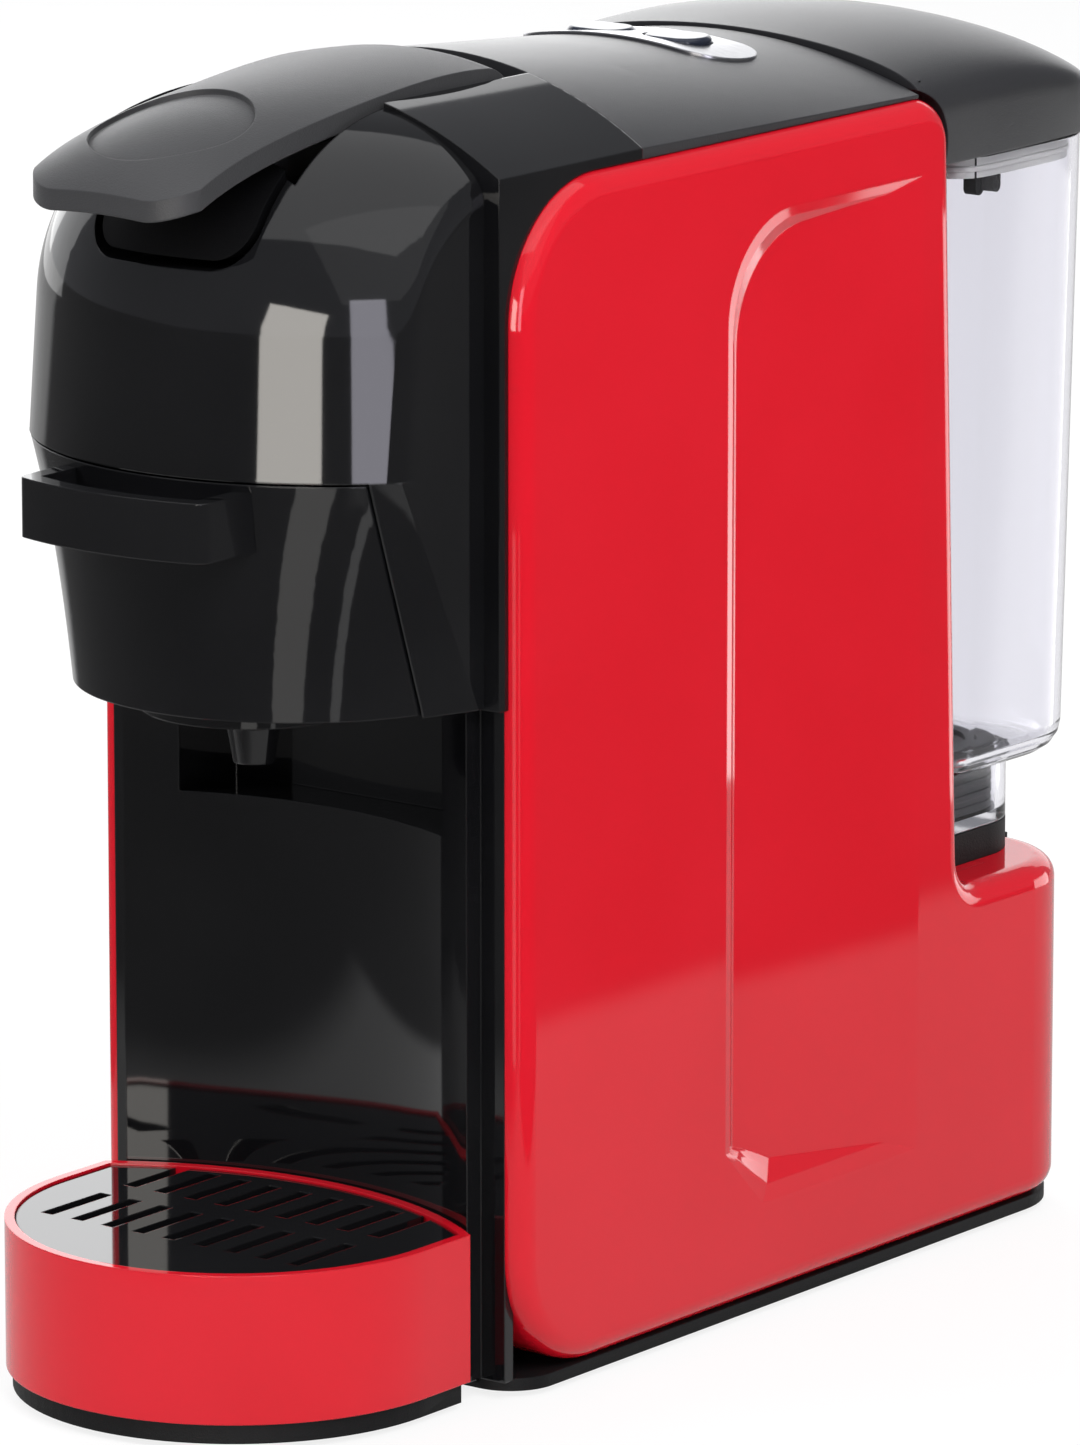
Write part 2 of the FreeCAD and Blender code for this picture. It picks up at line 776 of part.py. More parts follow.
# Arched top: the cross-section that the shoulder frame and the top cover share
def arch_section(half, edge, crown, low):
    corners = [(f"-({half})", low), (half, low), (half, edge), (f"-({half})", edge)]
    return corners, {2: (arch_radius(half, edge, crown), "left")}


def top_loft(name, drop, half, low):
    """The top cover's outer form, lowered by a drop, from its front edge to its rear edge."""
    sections = []
    for y, edge, crown in (("cover_front_y", "arch_front_edge_z", "arch_front_crown_z"),
                           ("cover_rear_y", "arch_rear_edge_z", "arch_rear_crown_z")):
        reach = f"({half}) / arch_half"
        fall = f"(({crown}) - ({edge})) * ({reach})^2"
        sections.append((y, *arch_section(half, f"{crown} - {fall} - ({drop})", f"{crown} - ({drop})", low)))
    return loft(name, "front", sections)


# Head: a round-fronted dome with cheeks beside the capsule holder
def envelope(name):
    """The brew head's lower form, from the head's lower edge down to the chin."""
    top_seam_y = "head_centre_y - sqrt(head_radius^2 - seam_half^2)"
    low_seam_y = "chin_centre_y - sqrt(chin_radius^2 - seam_half^2)"
    top_cheek_y = "head_centre_y - sqrt(head_radius^2 - cheek_half^2)"
    top = [
        ("-cheek_half", "head_rear_y"), ("-cheek_half", top_cheek_y), ("-seam_half", top_seam_y),
        ("seam_half", top_seam_y), ("cheek_half", top_cheek_y), ("cheek_half", "head_rear_y"),
    ]
    low = [
        ("-cheek_half", "head_rear_y"), ("-cheek_half", "head_rear_y - cheek_toe"),
        ("-seam_half", low_seam_y), ("seam_half", low_seam_y),
        ("cheek_half", "head_rear_y - cheek_toe"), ("cheek_half", "head_rear_y"),
    ]
    return loft(name, "top", [
        ("cheek_low_z", low, {2: ("chin_radius", "left")}),
        ("head_low_z", top, {2: ("head_radius", "left")}),
    ])


def dome(name, inset):
    return revolve(name, [
        ("0", "head_low_z"),
        (f"head_radius - {inset}", "head_low_z"),
        (f"head_shoulder_radius - {inset}", f"head_shoulder_z - {inset}", f"head_round - {inset}"),
        ("0", f"head_crown_z - {inset}"),
    ], ("0", "head_centre_y", "0"))


def keel_section(name, margin, top):
    """The lever's keel, widened by a margin, with rounded lower corners."""
    return pad(name, "front", [
        (f"-(keel_half + {margin})", top),
        (f"-(keel_half + {margin})", f"keel_low_z - {margin}", f"keel_round + {margin}"),
        (f"keel_half + {margin}", f"keel_low_z - {margin}", f"keel_round + {margin}"),
        (f"keel_half + {margin}", top),
    ], "clear_front_y", f"keel_rear_y + {margin}")


def head_shell(lower_form):
    front = ("clear_front_y", "head_rear_y")
    outer = common("head_outer", dome("head_dome", "0"),
                   block("head_sides", ("-cheek_half", "cheek_half"), front, ("head_low_z", "clear_z")))
    rounded = soften("head_rounded", outer, "cheek_round",
                     lambda middle, box: box.ZLength > 20 and middle.y < value("head_rear_y") - 2)
    inner = common("head_inner", dome("head_hollow_dome", "head_wall"),
                   block("head_hollow_sides", ("-(cheek_half - head_wall)", "cheek_half - head_wall"),
                         front, ("head_low_z", "head_crown_z")))
    scoop = keel_section("head_scoop", "scoop_gap", "clear_z")
    scoop_walls = keel_section("head_scoop_walls", "(scoop_gap + head_wall)", "head_crown_z")
    channel = block("head_channel", ("-channel_half", "channel_half"),
                    ("keel_rear_y - scoop_gap", "head_rear_y"), ("spine_low_z - channel_drop", "clear_z"))
    cheeks = cut("head_cheeks", lower_form,
                 block("head_cheek_gap", ("-cheek_inner", "cheek_inner"),
                       ("clear_front_y", "head_rear_y"), ("cheek_low_z", "head_low_z")))
    walls = cut("head_walls", rounded, cut("head_hollow", inner, scoop_walls))
    node(cut("head_shell", fuse("head_whole", walls, cheeks), scoop, channel), "head_shell")


# Shoulder frame: carries the lever's hinge and meets the panels' rounded corners
def shoulder_frame(panel_form):
    outer_section = arch_section("arch_half", "arch_front_edge_z", "arch_front_crown_z", "column_top_z")
    outer = pad("shoulder_outer", "front", outer_section[0], "head_rear_y", "cover_front_y", outer_section[1])
    fall = "(arch_front_crown_z - arch_front_edge_z) * (shoulder_inner / arch_half)^2"
    inner_section = arch_section("shoulder_inner", f"arch_front_crown_z - arch_wall - {fall}",
                                 "arch_front_crown_z - arch_wall", "column_top_z")
    inner = pad("shoulder_inner_form", "front", inner_section[0], "head_rear_y", "cover_front_y",
                inner_section[1])
    panel_zone = block("shoulder_panel_zone", ("lip_x", "half_width"), ("panel_front_y", "cover_front_y"),
                       ("column_top_z", "panel_top_z"))
    right_seat = common("shoulder_panel_seat", panel_form, panel_zone)
    channel = block("shoulder_channel", ("-channel_half", "channel_half"), ("head_rear_y", "cover_front_y"),
                    ("pivot_z - barrel_radius - lever_gap", "clear_z"))
    ears = common("shoulder_ears", outer, fuse("shoulder_ear_plates", *[
        block(f"shoulder_ear_{name}", (low, high), ("pivot_y - barrel_radius", "cover_front_y"),
              ("pivot_z - barrel_radius - lever_gap", "arch_front_crown_z"))
        for name, low, high in (("right", "channel_half", "channel_half + ear_thick"),
                                ("left", "-channel_half - ear_thick", "-channel_half"))
    ]))
    cross_wall = block("shoulder_cross_wall", ("-lip_x", "lip_x"),
                       ("cover_front_y", "cover_front_y + arch_wall"), ("bridge_high_z", "panel_top_z"))
    pin_end = "(channel_half + ear_thick)"
    pin_hole = rod("shoulder_pin_hole", "x", (f"-{pin_end}", "pivot_y", "pivot_z"),
                   "pivot_pin_radius + running_clearance", f"2 * {pin_end}")
    walls = cut("shoulder_walls", outer, inner, right_seat, mirror("shoulder_left_seat", right_seat), channel)
    node(cut("shoulder_frame", fuse("shoulder_whole", walls, ears, cross_wall), pin_hole), "shoulder_frame")
    node(rod("hinge_pin", "x", (f"-{pin_end}", "pivot_y", "pivot_z"), "pivot_pin_radius", f"2 * {pin_end}"),
         "hinge_pin")


def oblong(x, y, length, width):
    """Corners of a slot-shaped outline along X."""
    return [
        (f"({x}) + {sx} * ({length}) / 2", f"({y}) + {sy} * ({width}) / 2", f"oblong_share * ({width})")
        for sx, sy in ((-1, -1), (1, -1), (1, 1), (-1, 1))
    ]


# Top cover with the bezel and its two buttons
def top_cover_and_buttons():
    outer = top_loft("cover_outer", "0", "arch_half", "cover_low_z")
    hollow_form = top_loft("cover_hollow_form", "arch_wall", "shoulder_inner", "cover_low_z")
    hollow_zone = block("cover_hollow_zone", ("-shoulder_inner", "shoulder_inner"),
                        ("cover_front_y + arch_wall", "cover_rear_y - arch_wall"),
                        ("cover_low_z", "arch_front_crown_z"))
    inner = common("cover_hollow", hollow_form, hollow_zone)
    window = pad("bezel_window", "top", oblong("0", "button_y", "bezel_length", "bezel_width"),
                 "cover_low_z", "arch_front_crown_z")
    node(cut("top_cover", outer, inner, window), "top_cover")
    ring = common("bezel_blank", window,
                  top_loft("bezel_top_form", "-bezel_proud", "shoulder_inner", "cover_low_z"))
    places = {"left": "-button_pitch / 2", "right": "button_pitch / 2"}
    holes = [
        pad(f"bezel_hole_{name}", "top",
            oblong(x, "button_y", "button_length + 2 * button_gap", "button_width + 2 * button_gap"),
            "cover_low_z", "arch_front_crown_z")
        for name, x in places.items()
    ]
    node(cut("button_bezel", ring, top_loft("bezel_low_form", "bezel_depth", "shoulder_inner", "cover_low_z"),
             *holes), "button_bezel")
    switches = []
    for name, x in places.items():
        cap = pad(f"button_cap_{name}", "top", oblong(x, "button_y", "button_length", "button_width"),
                  "button_flange_low_z", "button_top_z")
        crowned = soften(f"button_crown_{name}", cap, "button_proud",
                         lambda middle, box: box.ZLength < 0.01 and middle.z > value("button_bed_z"))
        rim = oblong(x, "button_y", "button_length + 2 * button_flange", "button_width + 2 * button_flange")
        flange = pad(f"button_flange_{name}", "top", rim, "button_flange_low_z", "button_flange_top_z")
        stem = rod(f"button_stem_{name}", "z", (x, "button_y", "button_flange_low_z - button_stem_reach"),
                   "stem_switch_radius", "button_stem_reach")
        node(fuse(f"button_{name}", crowned, flange, stem), f"button_{name}")
        housing = block(f"switch_housing_{name}", (f"{x} - switch_side / 2", f"{x} + switch_side / 2"),
                        ("button_y - switch_side / 2", "button_y + switch_side / 2"),
                        ("board_top_z", "switch_top_z"))
        switches.append(cut(f"switch_{name}", housing,
                            rod(f"switch_bore_{name}", "z", (x, "button_y", "board_top_z"),
                                "stem_switch_radius + slide_gap", "switch_height")))
    node(group("button_switches", *switches), "button_switches")
    node(block("control_board", ("-board_length / 2", "board_length / 2"),
               ("button_y - board_width / 2", "button_y + board_width / 2"), ("board_z", "board_top_z")),
         "control_board")


# Lever: a crowned soft-touch plate that turns on a barrel at its rear end
def lever_section(half, crown, rise):
    edge = f"({crown} - {rise})"
    radius = arch_radius(half, edge, crown)
    corners = [(f"-{half}", f"{edge} - lever_thick"), (half, f"{edge} - lever_thick"),
               (half, edge), (f"-{half}", edge)]
    return corners, {0: (radius, "right"), 2: (radius, "left")}


LEVER_SECTIONS = (
    ("pivot_y", "lever_half", "(pivot_z + barrel_radius)", "(barrel_radius - barrel_end_radius)"),
    ("lever_back_y", "lever_half", "lever_back_crown_z", "lever_back_rise"),
    ("lever_mid_y", "lever_half", "lever_mid_crown_z", "lever_mid_rise"),
    ("lever_nose_y", "lever_half", "lever_nose_crown_z", "lever_nose_rise"),
    ("lever_front_y", "lever_front_half", "lever_front_crown_z", "lever_front_rise"),
)


def lever_plate(name, drop):
    """The lever's crowned plate, lowered by a drop."""
    sections = [(y, *lever_section(half, f"({crown} - {drop})", rise))
                for y, half, crown, rise in LEVER_SECTIONS]
    return loft(name, "front", sections, ruled=False)


def lever():
    plate = lever_plate("lever_plate", "0")
    rounded = common("lever_rounded", plate, pad("lever_plan", "top", [
        ("-lever_half - lever_gap", "pivot_y"),
        ("-lever_half - lever_gap", "lever_nose_y"),
        ("-lever_front_half", "lever_front_y", "lever_corner_round"),
        ("lever_front_half", "lever_front_y", "lever_corner_round"),
        ("lever_half + lever_gap", "lever_nose_y"),
        ("lever_half + lever_gap", "pivot_y"),
    ], "lever_front_crown_z - 2 * lever_thick", "pivot_z + 2 * barrel_radius"))
    barrel = revolve("lever_barrel", [
        ("-lever_half", "0"), ("lever_half", "0"),
        ("lever_half", "barrel_end_radius"), ("-lever_half", "barrel_end_radius"),
    ], ("0", "pivot_y", "pivot_z"),
        {2: (arch_radius("lever_half", "barrel_end_radius", "barrel_radius"), "left")}, "H_Axis")
    thumb = rod("lever_thumb", "z", ("0", "dish_centre_y", "lever_front_crown_z - lever_thick"), "dish_radius",
                "pivot_z - lever_front_crown_z + 2 * barrel_radius")
    dish = cut("lever_dish", common("lever_dish_zone", plate, thumb),
               lever_plate("lever_dish_floor", "dish_depth"))
    relief = block("lever_relief", ("-(arm_outer + crank_arm_gap)", "arm_outer + crank_arm_gap"),
                   ("pivot_y - barrel_radius", "pivot_y + barrel_radius"),
                   ("pivot_z - barrel_radius", "pivot_z + pivot_pin_radius"))
    bore = rod("lever_bore", "x", ("-lever_half", "pivot_y", "pivot_z"),
               "pivot_pin_radius + running_clearance", "2 * lever_half")
    whole = fuse("lever_whole", rounded, barrel)
    node(cut("lever_shell", whole, dish, relief, bore), "lever_shell")
    lever_arm(cut("lever_upper_form", whole, relief))


def lever_arm(plate):
    """The dark keel under the lever, its spine and the two crank arms at the hinge."""
    sunk = "lever_sunk"
    below = [(y, *arch_section(half, f"({crown} - {rise} - {sunk})", f"({crown} - {sunk})", "keel_low_z"))
             for y, half, crown, rise in LEVER_SECTIONS]
    keel = common("lever_keel", keel_section("lever_keel_form", "0", "clear_z"),
                  dome("lever_keel_front", "keel_set"), loft("lever_below", "front", below, ruled=False))
    spine = pad("lever_spine", "side", [
        ("keel_rear_y", "spine_low_z"), ("yoke_front_y", "spine_low_z"),
        ("yoke_front_y", f"lever_back_crown_z - {sunk}"), ("lever_back_y", f"lever_back_crown_z - {sunk}"),
        ("lever_mid_y", f"lever_mid_crown_z - {sunk}"), ("keel_rear_y", f"lever_mid_crown_z - {sunk}"),
    ], "-spine_half", "spine_half")
    arms = [
        pad(f"lever_arm_{name}", "side", [
            ("yoke_front_y - lever_thick", "spine_low_z"),
            ("crank_pin_y - crank_boss", "crank_pin_z - 2 * crank_pin_radius", "crank_pin_radius"),
            ("crank_pin_y + crank_boss", "crank_pin_z - 2 * crank_pin_radius", "crank_pin_radius"),
            ("pivot_y + pivot_boss", "pivot_z - pivot_pin_radius", "pivot_pin_radius"),
            ("pivot_y + pivot_boss", "pivot_z + pivot_pin_radius"),
            ("pivot_y - pivot_pin_radius", "pivot_z + pivot_boss"),
            ("yoke_front_y - lever_thick", f"lever_back_crown_z - {sunk}"),
        ], low, high)
        for name, low, high in (("right", "arm_inner", "arm_outer"), ("left", "-arm_outer", "-arm_inner"))
    ]
    pivot_bore = rod("arm_pivot_bore", "x", ("-arm_outer", "pivot_y", "pivot_z"),
                     "pivot_pin_radius + running_clearance", "2 * arm_outer")
    crank_bore = rod("arm_crank_bore", "x", ("-arm_outer", "crank_pin_y", "crank_pin_z"),
                     "crank_pin_radius + running_clearance", "2 * arm_outer")
    whole = fuse("lever_arm_whole", keel, spine, *arms)
    node(cut("lever_arm", whole, plate, pivot_bore, crank_bore), "lever_arm")
    node(rod("crank_pin", "x", ("-arm_outer", "crank_pin_y", "crank_pin_z"), "crank_pin_radius",
             "2 * arm_outer"), "crank_pin")


# Brew group: a piston that the lever's crank raises through a slotted yoke
def brew_group():
    axis = ("0", "brew_y", "0")
    node(revolve("brew_piston", [
        ("0", "piston_low_z"), ("piston_radius", "piston_low_z"),
        ("piston_radius", "piston_low_z + seal_width"),
        ("piston_radius - seal_depth", "piston_low_z + seal_width"),
        ("piston_radius - seal_depth", "piston_low_z + 2 * seal_width"),
        ("piston_radius", "piston_low_z + 2 * seal_width"),
        ("piston_radius", "piston_high_z"), ("stem_radius", "piston_high_z"),
        ("stem_radius", "stem_top_z"), ("0", "stem_top_z"),
    ], axis), "brew_piston")
    node(revolve("piston_seal", [
        ("piston_radius - seal_depth", "piston_low_z + seal_width"),
        ("piston_radius + seal_depth / 2", "piston_low_z + seal_width", "seal_depth / 2"),
        ("piston_radius + seal_depth / 2", "piston_low_z + 2 * seal_width", "seal_depth / 2"),
        ("piston_radius - seal_depth", "piston_low_z + 2 * seal_width"),
    ], axis), "piston_seal")
    node(rod("shower_plate", "z", ("0", "brew_y", "shower_low_z"), "shower_radius", "shower_thick"),
         "shower_plate")
    needle_outline = [("0", "shower_low_z - needle_length"), ("needle_radius", "shower_low_z"),
                      ("0", "shower_low_z")]
    count = int(value("needle_count"))
    needles = []
    for i in range(count):
        turn = f"({i} * 360 / needle_count + needle_turn)"
        at = (f"needle_circle * cos({turn})", f"brew_y + needle_circle * sin({turn})", "0")
        needles.append(revolve(f"needle_{i}", needle_outline, at))
    node(group("capsule_needles", *needles), "capsule_needles")
    hub = rod("yoke_hub", "z", ("0", "brew_y", "stem_top_z"), "stem_radius", "yoke_top_z - stem_top_z")
    arm = block("yoke_arm", ("-yoke_half", "yoke_half"), ("brew_y", "yoke_rear_y"),
                ("stem_top_z", "yoke_top_z"))
    slot = block("yoke_slot", ("-yoke_half", "yoke_half"),
                 ("pivot_y - crank_radius - yoke_slot_radius", "crank_pin_y + yoke_slot_radius"),
                 ("crank_pin_z - yoke_slot_radius", "crank_pin_z + yoke_slot_radius"))
    node(cut("piston_yoke", fuse("yoke_whole", hub, arm), slot), "piston_yoke")
    beam = block("bridge_beam", ("-shoulder_inner", "shoulder_inner"), ("head_rear_y", "bridge_rear_y"),
                 ("bridge_low_z", "bridge_high_z"))
    nose = pad("bridge_nose", "top", [
        ("-bridge_nose_half", "head_rear_y"),
        ("-bridge_nose_half", "bridge_front_y", "bridge_nose_round"),
        ("bridge_nose_half", "bridge_front_y", "bridge_nose_round"),
        ("bridge_nose_half", "head_rear_y"),
    ], "bridge_low_z", "bridge_high_z")
    guide = rod("bridge_bore", "z", ("0", "brew_y", "bridge_low_z"), "stem_radius + running_clearance",
                "bridge_high_z - bridge_low_z")
    node(cut("brew_bridge", fuse("bridge_whole", beam, nose), guide), "brew_bridge")


# Capsule holder: a drawer with a conical front, its insert, spout and grip strap
def capsule_holder(lower_form):
    front = common("holder_front_form", lower_form,
                   block("holder_zone", ("-holder_half", "holder_half"),
                         ("clear_front_y", "holder_tail_front_y"), ("holder_low_z", "holder_top_z")))
    tail = block("holder_tail", ("-holder_tail_half", "holder_tail_half"),
                 ("holder_tail_front_y", "holder_rear_y"), ("holder_low_z", "holder_deck_z"))
    above = rod("holder_above_deck", "z", ("0", "head_centre_y", "holder_deck_z"), "head_radius - holder_rim",
                "holder_top_z - holder_deck_z")
    well = rod("holder_well", "z", ("0", "brew_y", "holder_deck_z - insert_depth"), "insert_radius",
               "insert_depth")
    flange_seat = rod("holder_flange_seat", "z", ("0", "brew_y", "holder_deck_z - insert_flange"),
                      "insert_radius + insert_flange", "insert_flange")
    outlet = rod("holder_outlet", "z", ("0", "brew_y", "holder_low_z"), "2 * spout_bore", "insert_depth")
    grooves = [
        block(f"holder_groove_{name}", (low, high), ("brew_y - rail_depth - holder_gap", "holder_rear_y"),
              ("rail_low_z - slide_gap", "rail_low_z + rail_height + slide_gap"))
        for name, low, high in (("right", "holder_half - rail_depth", "holder_half"),
                                ("left", "-holder_half", "-(holder_half - rail_depth)"))
    ]
    holder = cut("holder_body", fuse("holder_whole", front, tail), above, well, flange_seat, outlet, *grooves)
    node(holder, "holder_body")
    rail_reach = "rail_depth - slide_gap"
    node(group("holder_rails", *[
        block(f"holder_rail_{name}", (low, high), ("brew_y - rail_depth", "head_rear_y"),
              ("rail_low_z", "rail_low_z + rail_height"))
        for name, low, high in (("right", f"cheek_inner - ({rail_reach})", "cheek_inner"),
                                ("left", "-cheek_inner", f"-(cheek_inner - ({rail_reach}))"))
    ]), "holder_rails")
    low = "holder_deck_z - insert_depth"
    node(revolve("capsule_insert", [
        ("2 * spout_bore", low), ("insert_radius", low),
        ("insert_radius", "holder_deck_z - insert_flange"),
        ("insert_radius + insert_flange", "holder_deck_z - insert_flange"),
        ("insert_radius + insert_flange", "holder_deck_z"),
        ("insert_radius - insert_wall", "holder_deck_z"),
        ("insert_radius - 2 * insert_wall", f"{low} + insert_wall"),
        ("2 * spout_bore", f"{low} + insert_wall"),
    ], ("0", "brew_y", "0")), "capsule_insert")
    node(revolve("spout", [
        ("spout_bore", "spout_tip_z"), ("spout_tip_radius", "spout_tip_z"),
        ("spout_tip_radius + spout_bore / 2", "spout_tip_z + 2 * spout_ring"),
        ("spout_radius", "holder_low_z - spout_ring"), ("spout_radius", "holder_low_z"),
        ("spout_bore", "holder_low_z"),
    ], ("0", "brew_y", "0")), "spout")
    inner_radius = "(strap_radius - strap_thick)"
    inner_half = "(strap_half - strap_thick)"
    leg_end = "head_centre_y - sqrt(chin_radius^2 - strap_half^2) - strap_thick"
    outer_y = "head_centre_y - sqrt(strap_radius^2 - strap_half^2)"
    inner_y = f"head_centre_y - sqrt({inner_radius}^2 - {inner_half}^2)"
    strap = pad("strap_blank", "top", [
        ("-strap_half", leg_end), ("-strap_half", outer_y), ("strap_half", outer_y), ("strap_half", leg_end),
        (inner_half, leg_end), (inner_half, inner_y),
        (f"-{inner_half}", inner_y), (f"-{inner_half}", leg_end),
    ], "strap_low_z", "strap_top_z", {1: ("strap_radius", "left"), 5: (inner_radius, "right")})
    edge_y = value(outer_y)
    strap_soft = soften("strap_soft", strap, "strap_round",
                        lambda middle, box: box.ZLength > 1 and abs(middle.y - edge_y) < 0.1)
    node(cut("grip_strap", strap_soft, front), "grip_strap")


# Drip tray: a gloss outer wall, a pan inside it and a slotted grid on top
def drip_tray():
    def tray_pad(name, inset, low, high):
        corners, arcs = tray_plan(inset)
        return pad(name, "top", corners, low, high, arcs)

    node(cut("tray_shell", tray_pad("tray_outer", "0", "tray_low_z", "tray_top_z"),
             tray_pad("tray_inner", "tray_wall", "tray_low_z", "tray_top_z")), "tray_shell")
    pan_hollow = tray_pad("pan_inner", "(tray_wall + pan_wall)", "tray_low_z + pan_floor", "pan_top_z")
    node(cut("tray_pan", tray_pad("pan_outer", "tray_wall", "tray_low_z", "pan_top_z"), pan_hollow),
         "tray_pan")
    plate = tray_pad("grid_plate", "(tray_wall + slide_gap)", "grid_low_z", "grid_top_z")
    front_end = "slot_split_y - slot_bridge / 2"
    rear_start = "slot_split_y + slot_bridge / 2"
    rows = (("front", f"{front_end} - slot_front_length", front_end),
            ("rear", rear_start, f"{rear_start} + slot_rear_length"))
    slots = []
    for row, low, high in rows:
        for i in range(int(value("slot_count"))):
            x = f"slot_pitch * ({i} - (slot_count - 1) / 2)"
            slots.append(block(f"grid_slot_{row}_{i}", (f"{x} - slot_width / 2", f"{x} + slot_width / 2"),
                               (low, high), ("grid_low_z", "grid_top_z")))
    node(cut("drip_grid", plate, *slots), "drip_grid")


# Water tank: a clear tapered shell with a docking neck, a valve and a lift-off lid
def tank_plan(half, front, rear, front_round, rear_round, inset):
    return [
        (f"-({half} - {inset})", f"{front} + {inset}", f"{front_round} - {inset}"),
        (f"{half} - {inset}", f"{front} + {inset}", f"{front_round} - {inset}"),
        (f"{half} - {inset}", f"{rear} - {inset}", f"{rear_round} - {inset}"),
        (f"-({half} - {inset})", f"{rear} - {inset}", f"{rear_round} - {inset}"),
    ]


def tank_outline(half, inset):
    return tank_plan(half, "tank_front_y", "tank_rear_y", "tank_front_round", "tank_rear_round", inset)


def neck_outline(inset):
    return tank_plan("neck_half", "neck_front_y", "neck_rear_y", "tank_front_round", "neck_round", inset)


TANK_STEPS = ((1, 0), (0.617, 0.076), (0.293, 0.293), (0.076, 0.617), (0, 1))


def tank_form(name, inset, low):
    """The tapered tank with a rounded lower edge."""
    edge = f"(tank_low_round - {inset})"
    sections = [(f"{low} + {rise} * {edge}", tank_outline("tank_half_low", f"({inset} + {share} * {edge})"))
                for share, rise in TANK_STEPS]
    sections.append(("tank_top_z", tank_outline("tank_half_top", inset)))
    return loft(name, "top", sections)


def water_tank():
    outer = tank_form("tank_outer", "0", "tank_low_z")
    inner = tank_form("tank_inner", "tank_wall", "(tank_low_z + tank_wall)")
    neck = pad("tank_neck", "top", neck_outline("0"), "dock_top_z", "tank_low_z + tank_wall")
    neck_hollow = pad("tank_neck_hollow", "top", neck_outline("dock_wall"), "dock_top_z + tank_wall",
                      "tank_low_z + 2 * tank_wall")
    spigot_foot = ("0", "valve_y", "spigot_low_z")
    spigot = rod("tank_spigot", "z", spigot_foot, "spigot_radius", "spigot_length + tank_wall")
    bore = rod("tank_valve_bore", "z", spigot_foot, "valve_bore", "spigot_length + tank_wall")
    node(cut("tank_shell", fuse("tank_whole", outer, neck, spigot), inner, neck_hollow, bore), "tank_shell")
    seat_z = "(dock_top_z + tank_wall + poppet_open)"
    node(revolve("valve_poppet", [
        ("0", "spigot_low_z + poppet_recess"), ("poppet_stem", "spigot_low_z + poppet_recess"),
        ("poppet_stem", seat_z), ("poppet_radius", seat_z),
        ("poppet_radius", f"{seat_z} + poppet_thick"), ("0", f"{seat_z} + poppet_thick"),
    ], ("0", "valve_y", "0")), "valve_poppet")
    dock_top = "(dock_top_z - slide_gap)"
    dock = pad("dock_blank", "top", neck_outline("0"), "deck_z", dock_top)
    dock_bore = rod("dock_bore", "z", ("0", "valve_y", "deck_z + dock_floor"), "spigot_radius + spigot_gap",
                    f"{dock_top} - deck_z - dock_floor")
    seal_foot = ("0", "valve_y", f"{dock_top} - seal_height")
    seal_outer = "spigot_radius + spigot_gap + seal_ring"
    seal_seat = rod("dock_seal_seat", "z", seal_foot, seal_outer, "seal_height")
    outlet = rod("dock_outlet", "z", ("0", "valve_y + spigot_radius / 2", "deck_z"), "tube_radius / 2",
                 "dock_floor")
    pin = rod("dock_pin", "z", ("0", "valve_y", "deck_z"), "dock_pin",
              "spigot_low_z + poppet_recess - slide_gap - deck_z")
    node(fuse("tank_dock", cut("dock_shell", dock, dock_bore, seal_seat, outlet), pin), "tank_dock")
    node(cut("dock_seal", rod("dock_seal_blank", "z", seal_foot, seal_outer, "seal_height"),
             rod("dock_seal_bore", "z", seal_foot, "spigot_radius + slide_gap", "seal_height")), "dock_seal")


def lid_form(name, inset):
    plan = pad(f"{name}_plan", "top", [
        (f"-(tank_half_top - {inset})", f"lid_nose_y + {inset}"),
        (f"tank_half_top - {inset}", f"lid_nose_y + {inset}"),
        (f"tank_half_top - {inset}", f"tank_rear_y - {inset}", f"tank_rear_round - {inset}"),
        (f"-(tank_half_top - {inset})", f"tank_rear_y - {inset}", f"tank_rear_round - {inset}"),
    ], "tank_rest_z", "lid_crown_z")
    elbow = f"(panel_rear_top_round + lid_gap + {inset})"
    side = pad(f"{name}_side", "side", [
        (f"lid_front_y + {inset}", "tank_rest_z"), (f"tank_rear_y - {inset}", "tank_rest_z"),
        (f"tank_rear_y - {inset}", f"lid_crown_z - lid_fall - {inset}", f"lid_rear_round - {inset}"),
        (f"lid_nose_y + {inset}", f"lid_crown_z - {inset}"),
        (f"lid_nose_y + {inset}", f"corner_z + sqrt({elbow}^2 - (lid_nose_y + {inset} - corner_y)^2)"),
        (f"lid_front_y + {inset}", f"corner_z + sqrt({elbow}^2 - (lid_front_y + {inset} - corner_y)^2)"),
    ], "-tank_half_top", "tank_half_top", {4: (elbow, "right")})
    corners, arcs = arch_section("tank_half_top", f"lid_edge_z - {inset}", f"lid_crown_z - {inset}",
                                 "tank_rest_z")
    arch = pad(f"{name}_arch", "front", corners, "lid_nose_y", "tank_rear_y", arcs)
    return common(name, plan, side, arch)


